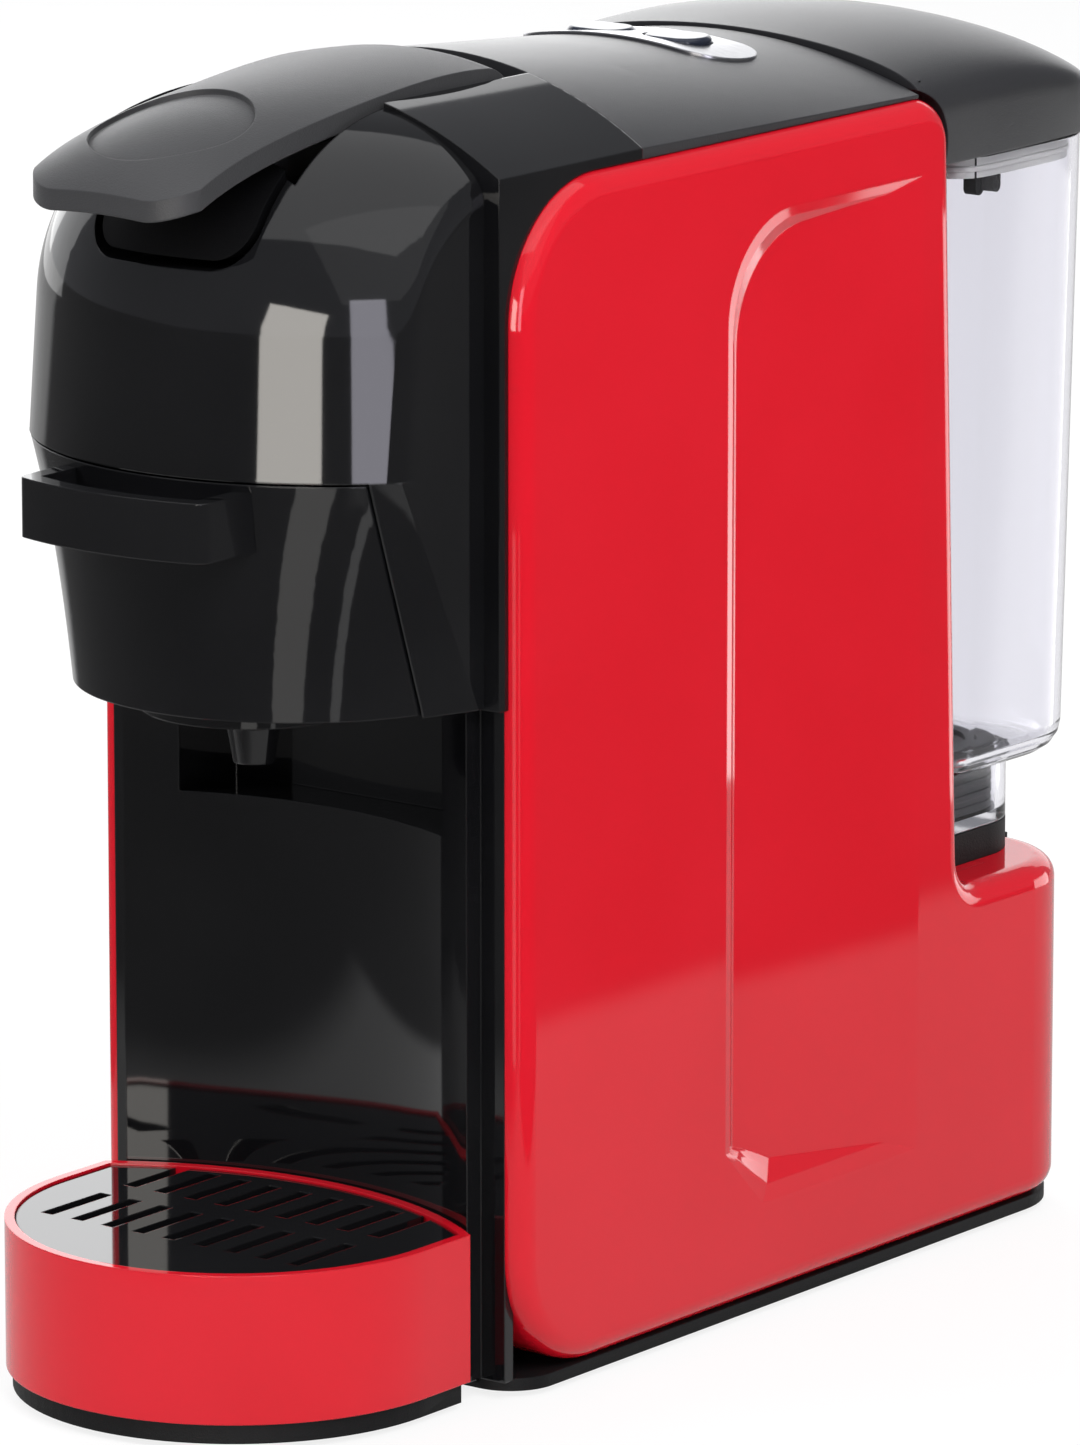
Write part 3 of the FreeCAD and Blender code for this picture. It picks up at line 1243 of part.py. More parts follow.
def tank_lid():
    skirt_outer = "(tank_wall + 2 * slide_gap)"
    skirt = cut("lid_skirt",
                pad("lid_skirt_outer", "top", tank_outline("tank_half_top", skirt_outer),
                    "tank_top_z - lid_skirt", "tank_rest_z + lid_wall"),
                pad("lid_skirt_inner", "top", tank_outline("tank_half_top", "(lid_wall + slide_gap * 3)"),
                    "tank_top_z - lid_skirt", "tank_rest_z + lid_wall"))
    hook_x = "(tank_half_top - tank_wall - 3 * slide_gap - hook_thick)"
    hooks = []
    for i in range(int(value("hook_count"))):
        start = f"tank_front_y + hook_inset + {i} * 2 * hook_thick"
        for name, low in (("right", hook_x), ("left", f"-{hook_x} - hook_thick")):
            hooks.append(block(f"lid_hook_{name}_{i}", (low, f"{low} + hook_thick"),
                               (start, f"{start} + hook_thick"),
                               ("tank_top_z - lid_skirt - hook_drop", "tank_top_z")))
    shell = cut("lid_shell", lid_form("lid_outer", "0"), lid_form("lid_hollow", "lid_wall"))
    before = block("lid_nose_zone", ("-tank_half_top", "tank_half_top"), ("lid_nose_y", "lid_front_y"),
                   ("tank_rest_z", "lid_crown_z"))
    node(fuse("tank_lid", cut("lid_main", shell, before), skirt, *hooks), "tank_lid")
    node(common("lid_nose", shell, before), "lid_nose")


# Rear of the body: tank niche wall, deck, rear cover and the cord's inlet gland
def rear_parts():
    node(pad("niche_wall_plate", "side", [
        ("cover_rear_y - 2 * panel_wall", "panel_top_z - panel_wall"),
        ("panel_rear_top_y - panel_wall", "panel_top_z - panel_wall", "panel_rear_top_round - panel_wall"),
        ("panel_rear_low_y - panel_wall", "deck_z"), ("panel_rear_low_y", "deck_z"),
        ("panel_rear_top_y", "panel_top_z", "panel_rear_top_round"),
        ("cover_rear_y - 2 * panel_wall", "panel_top_z"),
    ], "-lip_x", "lip_x"), "tank_niche_wall")
    front = block("deck_front", ("-lip_x", "lip_x"), ("panel_rear_low_y - 2 * panel_wall", "wrap_y"),
                  ("deck_z - panel_wall", "deck_z"))
    rear = block("deck_rear", ("-wrap_x", "wrap_x"), ("wrap_y", "body_rear_y - panel_wall"),
                 ("deck_z - panel_wall", "deck_z"))
    drain = rod("deck_drain", "z", ("0", "valve_y + spigot_radius / 2", "deck_z - panel_wall"),
                "tube_radius + running_clearance", "panel_wall")
    node(cut("tank_deck", fuse("deck_whole", front, rear), drain), "tank_deck")
    plate = block("rear_plate", ("-wrap_x", "wrap_x"), ("body_rear_y - panel_wall", "body_rear_y"),
                  ("panel_low_z", "deck_z"))
    vents = [
        block(f"rear_vent_{i}", ("-vent_half", "vent_half"), ("body_rear_y - panel_wall", "body_rear_y"),
              (f"vent_low_z + {i} * vent_pitch", f"vent_low_z + {i} * vent_pitch + vent_height"))
        for i in range(int(value("vent_count")))
    ]
    throat = "gland_throat"
    start = ("gland_x", "body_rear_y - 2 * panel_wall", "gland_z")
    hole = rod("rear_gland_hole", "y", start, throat, "3 * panel_wall")
    node(cut("rear_cover", plate, *vents, hole), "rear_cover")
    bush = fuse("gland_blank",
                rod("gland_throat", "y", start, throat, "2 * panel_wall"),
                rod("gland_collar", "y", ("gland_x", "body_rear_y", "gland_z"), "gland_radius", "panel_wall"))
    node(cut("inlet_gland", bush, rod("gland_bore", "y", start, "gland_radius / 2", "3 * panel_wall")),
         "inlet_gland")


def tube(name, points):
    """A water tube of straight runs joined by tangent arcs."""
    corners = [FreeCAD.Vector(*[value(number) for number in point]) for point in points]
    bend = value("tube_bend")
    edges = []
    start = corners[0]
    for before, corner, after in zip(corners, corners[1:], corners[2:]):
        back = (before - corner).normalize()
        ahead = (after - corner).normalize()
        first = corner + back * bend
        last = corner + ahead * bend
        middle = corner + (back + ahead) * bend - (back + ahead).normalize() * bend
        edges.append(Part.LineSegment(start, first).toShape())
        edges.append(Part.Arc(first, middle, last).toShape())
        start = last
    edges.append(Part.LineSegment(start, corners[-1]).toShape())
    ring = Part.Wire(Part.Circle(corners[0], corners[1] - corners[0], value("tube_radius")).toShape())
    pipe = doc.addObject("Part::Feature", name)
    pipe.Shape = Part.Wire(edges).makePipeShell([ring], True, True)
    return pipe


# Inside: the frame, pump, heater, flow meter and water tubes
def inside():
    floor = block("frame_floor", ("-frame_half", "frame_half"), ("frame_front_y", "frame_rear_y"),
                  ("panel_low_z", "floor_top_z"))
    shelf = block("frame_shelf", ("-frame_half", "frame_half"), ("shelf_front_y", "frame_rear_y"),
                  ("shelf_z", "shelf_top_z"))
    roof = block("frame_roof", ("-frame_half", "frame_half"),
                 ("shelf_front_y + window_margin", "frame_rear_y"),
                 ("frame_top_z - frame_plate", "frame_top_z"))
    sides = [
        block(f"frame_side_{name}", (low, high), ("shelf_front_y", "frame_rear_y"),
              ("panel_low_z", "frame_top_z"))
        for name, low, high in (("right", "frame_half - frame_plate", "frame_half"),
                                ("left", "-frame_half", "-(frame_half - frame_plate)"))
    ]
    windows = [
        block(f"frame_window_{name}", ("-frame_half", "frame_half"),
              ("shelf_front_y + window_margin", "frame_rear_y - window_margin"), (low, high))
        for name, low, high in (("low", "floor_top_z + window_margin", "shelf_z - window_margin"),
                                ("high", "shelf_top_z + window_margin", "frame_top_z - window_margin"))
    ]
    posts = [
        rod(f"frame_post_{i}", "z", (f"{sx} * (board_length / 2 - post_radius)",
                                     f"button_y + {sy} * (board_width / 2 - post_radius)", "frame_top_z"),
            "post_radius", "board_z - frame_top_z")
        for i, (sx, sy) in enumerate(((-1, -1), (1, -1), (1, 1), (-1, 1)))
    ]
    walls = cut("frame_walls", fuse("frame_plates", *sides), *windows)
    node(cut("chassis_frame", fuse("frame_whole", floor, shelf, roof, walls, *posts), *screw_cuts("frame")),
         "chassis_frame")
    screws = [screw(f"floor_screw_{i}", x, y, "0") for i, (x, y) in enumerate(SCREW_PLACES)]
    node(group("floor_screws", *screws), "floor_screws")

    coil_y = "(pump_front_y + pump_length / 2)"
    coil = block("coil_block", ("-coil_side / 2", "coil_side / 2"),
                 (f"{coil_y} - coil_length / 2", f"{coil_y} + coil_length / 2"),
                 ("coil_low_z", "coil_low_z + coil_side"))
    core = rod("coil_core", "y", ("0", "pump_front_y", "pump_z"), "pump_radius", "pump_length")
    node(cut("pump_coil", coil, core), "pump_coil")
    node(fuse("pump_body",
              rod("pump_barrel", "y", ("0", "pump_front_y + tube_bend", "pump_z"), "pump_radius",
                  "pump_length - 2 * tube_bend"),
              rod("pump_nozzles", "y", ("0", "pump_front_y", "pump_z"), "2 * tube_radius", "pump_length")),
         "pump_body")
    node(group("pump_mounts", *[
        rod(f"pump_mount_{i}", "z",
            (f"{sx} * coil_side / 4", f"{coil_y} + {sy} * coil_length / 4", "floor_top_z"),
            "mount_radius", "mount_height")
        for i, (sx, sy) in enumerate(((-1, -1), (1, -1), (1, 1), (-1, 1)))
    ]), "pump_mounts")

    node(pad("thermoblock", "top", [
        ("-heater_half", "heater_front_y", "heater_round"), ("heater_half", "heater_front_y", "heater_round"),
        ("heater_half", "heater_rear_y", "heater_round"), ("-heater_half", "heater_rear_y", "heater_round"),
    ], "shelf_top_z", "heater_top_z"), "thermoblock")
    node(group("thermostats", *[
        rod(f"thermostat_{i}", "z", (f"{side} * heater_half / 2", "heater_y", "heater_top_z"),
            "thermostat_radius", "thermostat_height")
        for i, side in enumerate((-1, 1))
    ]), "thermostats")
    port_x = "meter_x - meter_radius - 2 * tube_radius"
    port_z = "floor_top_z + meter_height / 2"
    cup = rod("meter_cup", "z", ("meter_x", "meter_y", "floor_top_z"), "meter_radius", "meter_height")
    port = rod("meter_port", "x", (port_x, "meter_y", port_z), "port_radius", f"meter_x - ({port_x})")
    node(fuse("flow_meter", cup, port), "flow_meter")

    feed_y = "valve_y + spigot_radius / 2"
    node(tube("supply_tube", [
        ("0", feed_y, "deck_z"), ("0", feed_y, "supply_run_z"), ("meter_x", feed_y, "supply_run_z"),
        ("meter_x", "meter_y", "supply_run_z"), ("meter_x", "meter_y", "meter_top_z"),
    ]), "supply_tube")
    node(tube("suction_tube", [
        (port_x, "meter_y", port_z), ("-suction_x", "meter_y", port_z),
        ("-suction_x", "meter_y", "pump_z"), ("0", "meter_y", "pump_z"),
        ("0", "pump_rear_y", "pump_z"),
    ]), "suction_tube")
    node(tube("pressure_tube", [
        ("0", "pump_front_y", "pump_z"), ("0", "riser_y", "pump_z"),
        ("0", "riser_y", "heater_z"), ("0", "heater_front_y", "heater_z"),
    ]), "pressure_tube")
    brew_z = "(bridge_low_z + bridge_high_z) / 2"
    node(tube("brew_tube", [
        ("brew_tube_x", "heater_front_y", "heater_top_z - 2 * tube_radius"),
        ("brew_tube_x", "riser_y", "heater_top_z - 2 * tube_radius"),
        ("brew_tube_x", "riser_y", brew_z), ("brew_tube_x", "bridge_rear_y", brew_z),
    ]), "brew_tube")


def build():
    panel_form = side_panels()
    base_and_feet()
    front_column()
    lower_form = envelope("head_lower_form")
    head_shell(lower_form)
    shoulder_frame(panel_form)
    top_cover_and_buttons()
    lever()
    brew_group()
    capsule_holder(lower_form)
    drip_tray()
    water_tank()
    tank_lid()
    rear_parts()
    inside()


build()
doc.recompute()
for obj in doc.Objects:
    if "Invalid" in obj.State or "Error" in obj.State:
        raise SystemExit(f"{obj.Name} failed: {obj.State}")
for obj in NODES:
    if obj.Shape.isNull() or not obj.Shape.isValid():
        raise SystemExit(f"{obj.Label} has no valid shape")
os.makedirs("parts", exist_ok=True)
for obj in NODES:
    obj.Shape.exportStep(f"parts/{obj.Label}.step")
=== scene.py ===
import json
import math

import bmesh
import bpy
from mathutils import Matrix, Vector


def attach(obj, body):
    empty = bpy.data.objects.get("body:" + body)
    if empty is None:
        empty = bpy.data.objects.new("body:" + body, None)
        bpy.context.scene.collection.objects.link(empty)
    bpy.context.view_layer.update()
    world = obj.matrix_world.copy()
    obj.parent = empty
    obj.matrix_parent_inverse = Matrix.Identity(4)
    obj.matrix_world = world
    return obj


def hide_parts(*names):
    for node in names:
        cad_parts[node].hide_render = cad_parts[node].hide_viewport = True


# Looks of the espresso machine, in metres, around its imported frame.
# +Z is up, the front faces -Y, and the camera sees the front and the +X side.
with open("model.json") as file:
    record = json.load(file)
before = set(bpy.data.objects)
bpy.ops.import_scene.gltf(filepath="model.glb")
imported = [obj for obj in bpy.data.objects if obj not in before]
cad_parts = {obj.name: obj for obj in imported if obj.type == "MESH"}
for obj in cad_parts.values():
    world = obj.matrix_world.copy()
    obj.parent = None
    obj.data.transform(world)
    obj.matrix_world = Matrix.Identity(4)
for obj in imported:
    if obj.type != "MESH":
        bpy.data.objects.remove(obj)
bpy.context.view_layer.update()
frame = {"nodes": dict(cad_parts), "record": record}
nodes = frame["nodes"]
scene = bpy.context.scene

# Camera: azimuth from the front towards +X, and height above the horizon
CAMERA_AZIMUTH = math.radians(37.2)
CAMERA_ELEVATION = math.radians(12.65)
CAMERA_DISTANCE = 2.27834
CAMERA_TARGET = Vector((0.0, 0.00581, 0.12728))
CAMERA_LENS = 257.2
CAMERA_SENSOR = 36.0
CAMERA_NEAR = 0.05
CAMERA_FAR = 60.0

# Stage: a round pale floor, how far beside and before the machine its shine still shows,
# and from where it shows behind on the left
FLOOR_RADIUS = 9.0
FLOOR_SHINE_SIDE = (0.245, 0.265)
FLOOR_SHINE_FRONT = (-0.26, -0.34)
FLOOR_SHINE_LEFT = (-0.40, -0.05)
FLOOR_SHINE_REAR = (0.25, 0.10)
FLOOR_SHINE = 0.62
FLOOR_DARK = 0.14
FLOOR_WHITE = 0.86
FLOOR_ROUGHNESS = 0.7
FLOOR_SHADOW_SHARE = 0.16
WORLD_GREY = (0.52, 0.53, 0.56, 1.0)
WORLD_LEVEL = 0.55
LIGHT_CENTRE = Vector((0.0, 0.0, 0.15))
WARM_WHITE = (1.0, 0.96, 0.90)
PALE_WARM_WHITE = (1.0, 0.98, 0.95)
COOL_WHITE = (0.90, 0.88, 1.0)
WHITE = (1.0, 1.0, 1.0)

# Materials: where a mask turns from its deep to its lit shade, and which dust noise counts as a speck
SHADE_STOPS = (0.3, 0.7)
DUST_SPECK = (0.66, 0.78)
EDGE_ROUND = 0.0005

# Modelling: the slack when corners are picked by their place, and when faces lie on a plane
NEAR = 0.001
TINY = 0.0001
WELD = 0.00001
SMOOTH_ANGLE = math.radians(35.0)
CUT_ROOM = 0.01

# Rounding of the base plate's front corners
BASE_ROUND = 0.011

# Tank lid: half width, nose above the panels' rear corners, rear end, lower edge and crown
LID_HALF = 0.055
LID_NOSE_Y = 0.0735
LID_FRONT_Y = 0.0814
LID_REAR_Y = 0.1513
LID_LOW_Z = 0.2473
LID_CROWN_Z = 0.277
LID_WALL = 0.0026
PANEL_CORNER_Y = 0.0693
PANEL_CORNER_Z = 0.2524
PANEL_CORNER_RADIUS = 0.013

# Tank lid: rows of corners, and how far each part of the top falls away from the crown
LID_SHOULDER_X = 0.032
LID_MIDDLE_Y = 0.100
LID_TAIL_Y = 0.128
LID_WAIST_Z = 0.258
LID_TOP_Z = 0.265
LID_SIDE_DROP = 0.0085
LID_SHOULDER_DROP = 0.0025
LID_NOSE_DROP = 0.0018
LID_TAIL_DROP = 0.002
LID_REAR_DROP = 0.010
LID_REAR_LEAN = 0.004
LID_REAR_TAPER = 0.945
LID_CORNER_LEAN = 0.003

# Ring under the lid, its front and rear corners and its bead
SKIRT_LOW = Vector((-0.0522, 0.0923, 0.242))
SKIRT_HIGH = Vector((0.0522, 0.1485, 0.2505))
SKIRT_FRONT_ROUND = 0.0072
SKIRT_REAR_ROUND = 0.0222
SKIRT_BEAD_Z = (0.2435, 0.2447)
SKIRT_BEAD = 0.0003
SKIRT_WALL = 0.0014

# Lugs under the lid: the first one, its round tip, its sunk face and the step to the next
LUG_LOW = Vector((0.0489, 0.0970, 0.238))
LUG_HIGH = Vector((0.0519, 0.1000, 0.2475))
LUG_TIP_ROUND = 0.0014
LUG_BORDER = 0.0005
LUG_SINK = 0.0004
LUG_STEP = 0.006

# Basket in the tank's neck: its corners, its sunk top and its ribs
BASKET_LOW = Vector((-0.0396, 0.0974, 0.0922))
BASKET_HIGH = Vector((0.0396, 0.1336, 0.1072))
BASKET_FRONT_ROUND = 0.007
BASKET_REAR_ROUND = 0.0146
BASKET_BORDER = 0.004
BASKET_SINK = 0.0012
BASKET_RIB_Z = 0.0940
BASKET_RIB_STEP = 0.0014
BASKET_RIB_EDGES = 8
BASKET_GROOVE = 0.0005
BASKET_WALL = 0.0006


def direction(azimuth, elevation):
    """Unit vector from the machine towards a bearing, with azimuth 0 in front and 90 on the +X side."""
    return Vector((math.sin(azimuth) * math.cos(elevation),
                   -math.cos(azimuth) * math.cos(elevation),
                   math.sin(elevation)))


def aim(obj, target):
    obj.rotation_euler = (target - obj.location).to_track_quat("-Z", "Y").to_euler()


def add_camera():
    data = bpy.data.cameras.new("photo_camera")
    data.lens = CAMERA_LENS
    data.sensor_width = CAMERA_SENSOR
    data.clip_start = CAMERA_NEAR
    data.clip_end = CAMERA_FAR
    camera = bpy.data.objects.new("photo_camera", data)
    camera.location = CAMERA_TARGET + direction(CAMERA_AZIMUTH, CAMERA_ELEVATION) * CAMERA_DISTANCE
    aim(camera, CAMERA_TARGET)
    scene.collection.objects.link(camera)
    scene.camera = camera


def deselect_all():
    if bpy.context.object and bpy.context.object.mode != "OBJECT":
        bpy.ops.object.mode_set(mode="OBJECT")
    bpy.ops.object.select_all(action="DESELECT")


# Node helpers for the materials
class Finish:
    """A material with one Principled shader and the nodes that vary it."""

    def __init__(self, name):
        self.material = bpy.data.materials.new(name)
        self.material.use_nodes = True
        self.tree = self.material.node_tree
        self.shader = self.tree.nodes["Principled BSDF"]

    def add(self, kind, **settings):
        made = self.tree.nodes.new(kind)
        for key, setting in settings.items():
            setattr(made, key, setting)
        return made

    def link(self, source, target):
        self.tree.links.new(source, target)

    def set(self, **inputs):
        for name, setting in inputs.items():
            self.shader.inputs[name.replace("_", " ")].default_value = setting

    def effect(self, group, **inputs):
        made = self.add("ShaderNodeGroup", node_tree=group)
        for name, setting in inputs.items():
            made.inputs[name.replace("_", " ")].default_value = setting
        return made

    def shades(self, mask, deep, lit):
        """Base colour that drifts between two near shades."""
        made = self.add("ShaderNodeValToRGB")
        for element, place, colour in zip(made.color_ramp.elements, SHADE_STOPS, (deep, lit)):
            element.position = place
            element.color = (*colour, 1.0)
        self.link(mask, made.inputs["Fac"])
        self.link(made.outputs["Color"], self.shader.inputs["Base Color"])

    def gloss(self, mask, low, high):
        """Roughness between two values."""
        made = self.add("ShaderNodeMapRange")
        made.inputs["To Min"].default_value = low
        made.inputs["To Max"].default_value = high
        self.link(mask, made.inputs["Value"])
        self.link(made.outputs["Result"], self.shader.inputs["Roughness"])

    def bump(self, height, strength, distance):
        """Surface relief, over edges that are rounded off by a small radius."""
        made = self.add("ShaderNodeBump")
        made.inputs["Strength"].default_value = strength
        made.inputs["Distance"].default_value = distance
        self.link(height, made.inputs["Height"])
        rounded = self.add("ShaderNodeBevel", samples=4)
        rounded.inputs["Radius"].default_value = EDGE_ROUND
        self.link(rounded.outputs["Normal"], made.inputs["Normal"])
        self.link(made.outputs["Normal"], self.shader.inputs["Normal"])


def new_group(name, inputs, outputs):
    group = bpy.data.node_groups.new(name, "ShaderNodeTree")
    for label, default in inputs.items():
        socket = group.interface.new_socket(label, in_out="INPUT", socket_type="NodeSocketFloat")
        socket.default_value = default
    for label in outputs:
        group.interface.new_socket(label, in_out="OUTPUT", socket_type="NodeSocketFloat")
    return group, group.nodes.new("NodeGroupInput"), group.nodes.new("NodeGroupOutput")


def noise_node(group, scale_socket, detail, roughness):
    place = group.nodes.new("ShaderNodeTexCoord")
    noise = group.nodes.new("ShaderNodeTexNoise")
    noise.inputs["Detail"].default_value = detail
    noise.inputs["Roughness"].default_value = roughness
    group.links.new(place.outputs["Object"], noise.inputs["Vector"])
    group.links.new(scale_socket, noise.inputs["Scale"])
    return noise


def moulded_grain_group():
    """Fine spark-eroded grain of a moulded surface, and broad patches of more or less sheen."""
    group, given, out = new_group("moulded_grain", {"Grain Scale": 2500.0, "Patch Scale": 18.0},
                                  ["Grain", "Patch"])
    grain = noise_node(group, given.outputs["Grain Scale"], detail=3.0, roughness=0.6)
    patch = noise_node(group, given.outputs["Patch Scale"], detail=2.0, roughness=0.5)
    group.links.new(grain.outputs["Fac"], out.inputs["Grain"])
    group.links.new(patch.outputs["Fac"], out.inputs["Patch"])
    return group


def polished_flow_group():
    """The slow waviness of polished mouldings, and specks of dust that dull the gloss."""
    group, given, out = new_group("polished_flow", {"Wave Scale": 26.0, "Dust Scale": 900.0},
                                  ["Wave", "Dust"])
    wave = noise_node(group, given.outputs["Wave Scale"], detail=1.0, roughness=0.4)
    dust = noise_node(group, given.outputs["Dust Scale"], detail=2.0, roughness=0.7)
    speck = group.nodes.new("ShaderNodeMapRange")
    speck.inputs["From Min"].default_value, speck.inputs["From Max"].default_value = DUST_SPECK
    group.links.new(dust.outputs["Fac"], speck.inputs["Value"])
    group.links.new(wave.outputs["Fac"], out.inputs["Wave"])
    group.links.new(speck.outputs["Result"], out.inputs["Dust"])
    return group


def brushed_lines_group():
    """Straight hair lines along X of a brushed metal."""
    group, given, out = new_group("brushed_lines", {"Line Scale": 1500.0}, ["Lines"])
    place = group.nodes.new("ShaderNodeTexCoord")
    stretch = group.nodes.new("ShaderNodeMapping")
    stretch.inputs["Scale"].default_value = (0.02, 1.0, 1.0)
    lines = group.nodes.new("ShaderNodeTexNoise")
    lines.inputs["Detail"].default_value = 2.0
    group.links.new(place.outputs["Object"], stretch.inputs["Vector"])
    group.links.new(stretch.outputs["Vector"], lines.inputs["Vector"])
    group.links.new(given.outputs["Line Scale"], lines.inputs["Scale"])
    group.links.new(lines.outputs["Fac"], out.inputs["Lines"])
    return group


MOULDED_GRAIN = moulded_grain_group()
POLISHED_FLOW = polished_flow_group()
BRUSHED_LINES = brushed_lines_group()


# Finishes: each has two near shades, and a roughness where it is clean and where it is dusted or rough
def polished_plastic(name, deep, lit, clean, dusted):
    """High-gloss moulded plastic."""
    finish = Finish(name)
    flow = finish.effect(POLISHED_FLOW)
    finish.shades(flow.outputs["Wave"], deep, lit)
    finish.gloss(flow.outputs["Dust"], clean, dusted)
    finish.set(IOR=1.5)
    finish.bump(flow.outputs["Wave"], strength=0.008, distance=0.002)
    return finish.material


def grained_finish(name, deep, lit, smooth, rough, depth, grain_scale):
    finish = Finish(name)
    grain = finish.effect(MOULDED_GRAIN, Grain_Scale=grain_scale)
    finish.shades(grain.outputs["Patch"], deep, lit)
    finish.gloss(grain.outputs["Patch"], smooth, rough)
    finish.bump(grain.outputs["Grain"], strength=depth, distance=0.0004)
    return finish


def grained_plastic(name, deep, lit, smooth, rough, depth, grain_scale=2500.0, **more):
    """Matte or satin plastic with a fine moulded grain."""
    finish = grained_finish(name, deep, lit, smooth, rough, depth, grain_scale)
    finish.set(**more)
    return finish.material


def dull_black(name, deep, lit, smooth, rough, specular=0.2):
    return grained_plastic(name, deep, lit, smooth, rough, depth=0.3, Specular_IOR_Level=specular)


def cast_metal(name, deep, lit):
    return grained_plastic(name, deep, lit, smooth=0.35, rough=0.5, depth=0.3, grain_scale=900.0, Metallic=1.0)


def clear_plastic():
    finish = Finish("clear_tank")
    flow = finish.effect(POLISHED_FLOW, Wave_Scale=14.0)
    finish.shades(flow.outputs["Wave"], (0.835, 0.830, 0.872), (0.850, 0.845, 0.886))
    finish.gloss(flow.outputs["Dust"], 0.06, 0.2)
    finish.set(IOR=1.25, Transmission_Weight=1.0)
    finish.bump(flow.outputs["Wave"], strength=0.05, distance=0.002)
    return finish.material


def brushed_metal(name, deep, lit, smooth, rough):
    finish = Finish(name)
    lines = finish.effect(BRUSHED_LINES)
    finish.shades(lines.outputs["Lines"], deep, lit)
    finish.gloss(lines.outputs["Lines"], smooth, rough)
    finish.set(Metallic=1.0)
    finish.bump(lines.outputs["Lines"], strength=0.05, distance=0.0002)
    return finish.material


FINISHES = {
    "red_gloss": polished_plastic("red_gloss", (0.505, 0.0040, 0.0125), (0.525, 0.0052, 0.0150),
                                  clean=0.05, dusted=0.12),
    "black_gloss": polished_plastic("black_gloss", (0.0036, 0.0036, 0.0042), (0.0056, 0.0056, 0.0062),
                                    clean=0.05, dusted=0.13),
    "black_matte": dull_black("black_matte", (0.0035, 0.0035, 0.0040), (0.0055, 0.0055, 0.0060),
                              smooth=0.50, rough=0.65),
    "grey_satin": grained_plastic("grey_satin", (0.014, 0.014, 0.016), (0.019, 0.019, 0.021),
                                  smooth=0.28, rough=0.36, depth=0.15),
    "soft_grey": grained_plastic("soft_touch_grey", (0.021, 0.021, 0.023), (0.027, 0.027, 0.029),
                                 smooth=0.44, rough=0.52, depth=0.25, Sheen_Weight=0.12, Sheen_Roughness=0.5),
    "bezel_chrome": brushed_metal("satin_chrome", (0.34, 0.34, 0.36), (0.44, 0.44, 0.46),
                                  smooth=0.16, rough=0.26),
    "button_blue_black": polished_plastic("button_blue_black", (0.010, 0.013, 0.024), (0.014, 0.018, 0.032),
                                          clean=0.10, dusted=0.2),
    "steel": brushed_metal("brushed_steel", (0.50, 0.50, 0.51), (0.62, 0.62, 0.63), smooth=0.22, rough=0.36),
    "cast_aluminium": cast_metal("cast_aluminium", (0.58, 0.58, 0.60), (0.70, 0.70, 0.71)),
    "black_rubber": grained_plastic("black_rubber", (0.010, 0.010, 0.010), (0.016, 0.016, 0.016),
                                    smooth=0.6, rough=0.8, depth=0.4, grain_scale=1200.0),
    "clear_plastic": clear_plastic(),
    "board_green": grained_plastic("board_green", (0.010, 0.080, 0.030), (0.016, 0.110, 0.045),
                                   smooth=0.3, rough=0.42, depth=0.2),
    "pale_plastic": grained_plastic("pale_plastic", (0.55, 0.55, 0.52), (0.62, 0.62, 0.59),
                                    smooth=0.4, rough=0.5, depth=0.25),
    "tube_silicone": grained_plastic("tube_silicone", (0.60, 0.60, 0.57), (0.68, 0.68, 0.65),
                                     smooth=0.35, rough=0.45, depth=0.15),
}

# The keel under the lever takes a darker copy of the black matte with weaker specular: painted shade, for the
# shadow it lies in under the lever
KEEL_PAINTED_SHADE_BLACK = dull_black("keel_black_painted_shade", (0.0016, 0.0016, 0.0020), (0.0026, 0.0026, 0.0030),
                        smooth=0.55, rough=0.7, specular=0.1)


def dress_nodes():
    for entry in frame["record"]["subparts"]:
        node = nodes[entry["node"]]
        node.data.materials.clear()
        node.data.materials.append(FINISHES[entry["material_slot"]])
    # The lever's keel gets the painted-shade copy of the black matte
    nodes["lever_arm"].data.materials[0] = KEEL_PAINTED_SHADE_BLACK


# Modelling by hand
def block_piece(name, low, high):
    """A cube at its size and place, as the start of a piece."""
    deselect_all()
    bpy.ops.mesh.primitive_cube_add(size=1.0, location=[(a + b) / 2 for a, b in zip(low, high)],
                                    scale=[b - a for a, b in zip(low, high)])
    bpy.ops.object.transform_apply(location=True, rotation=True, scale=True)
    bpy.context.object.name = name
    return bpy.context.object


def choose(kind, wanted):
    """Select, in edit mode, the vertices, edges or faces whose middle is wanted."""
    bpy.ops.mesh.select_mode(type=kind)
    bpy.ops.mesh.select_all(action="DESELECT")
    data = bpy.context.object.data
    mesh = bmesh.from_edit_mesh(data)
    for item in {"VERT": mesh.verts, "EDGE": mesh.edges, "FACE": mesh.faces}[kind]:
        corners = [item.co] if kind == "VERT" else [corner.co for corner in item.verts]
        if wanted(sum(corners, Vector()) / len(corners)):
            item.select_set(True)
    mesh.select_flush_mode()
    bmesh.update_edit_mesh(data)


def slice_at(axis, *places):
    """Cut new edges all round the piece at places along one axis."""
    for place in places:
        bpy.ops.mesh.select_all(action="SELECT")
        bpy.ops.mesh.bisect(plane_co=[place * (i == axis) for i in range(3)],
                            plane_no=[float(i == axis) for i in range(3)])


def shift(x, y, z):
    bpy.ops.transform.translate(value=(x, y, z))


def raise_faces(height):
    """Push the chosen faces out, or in where the height is negative."""
    bpy.ops.mesh.extrude_region_shrink_fatten(TRANSFORM_OT_shrink_fatten={"value": height})


def round_corners(low, high, front_round, rear_round):
    """Round the upright edges of a block, in front and behind."""
    middle = (low + high) / 2
    for front, radius in ((True, front_round), (False, rear_round)):
        choose("EDGE", lambda p: abs(p.x) > high.x - NEAR / 2 and abs(p.z - middle.z) < NEAR
               and (p.y < middle.y) == front)
        bpy.ops.mesh.bevel(offset=radius, segments=8, affect="EDGES")


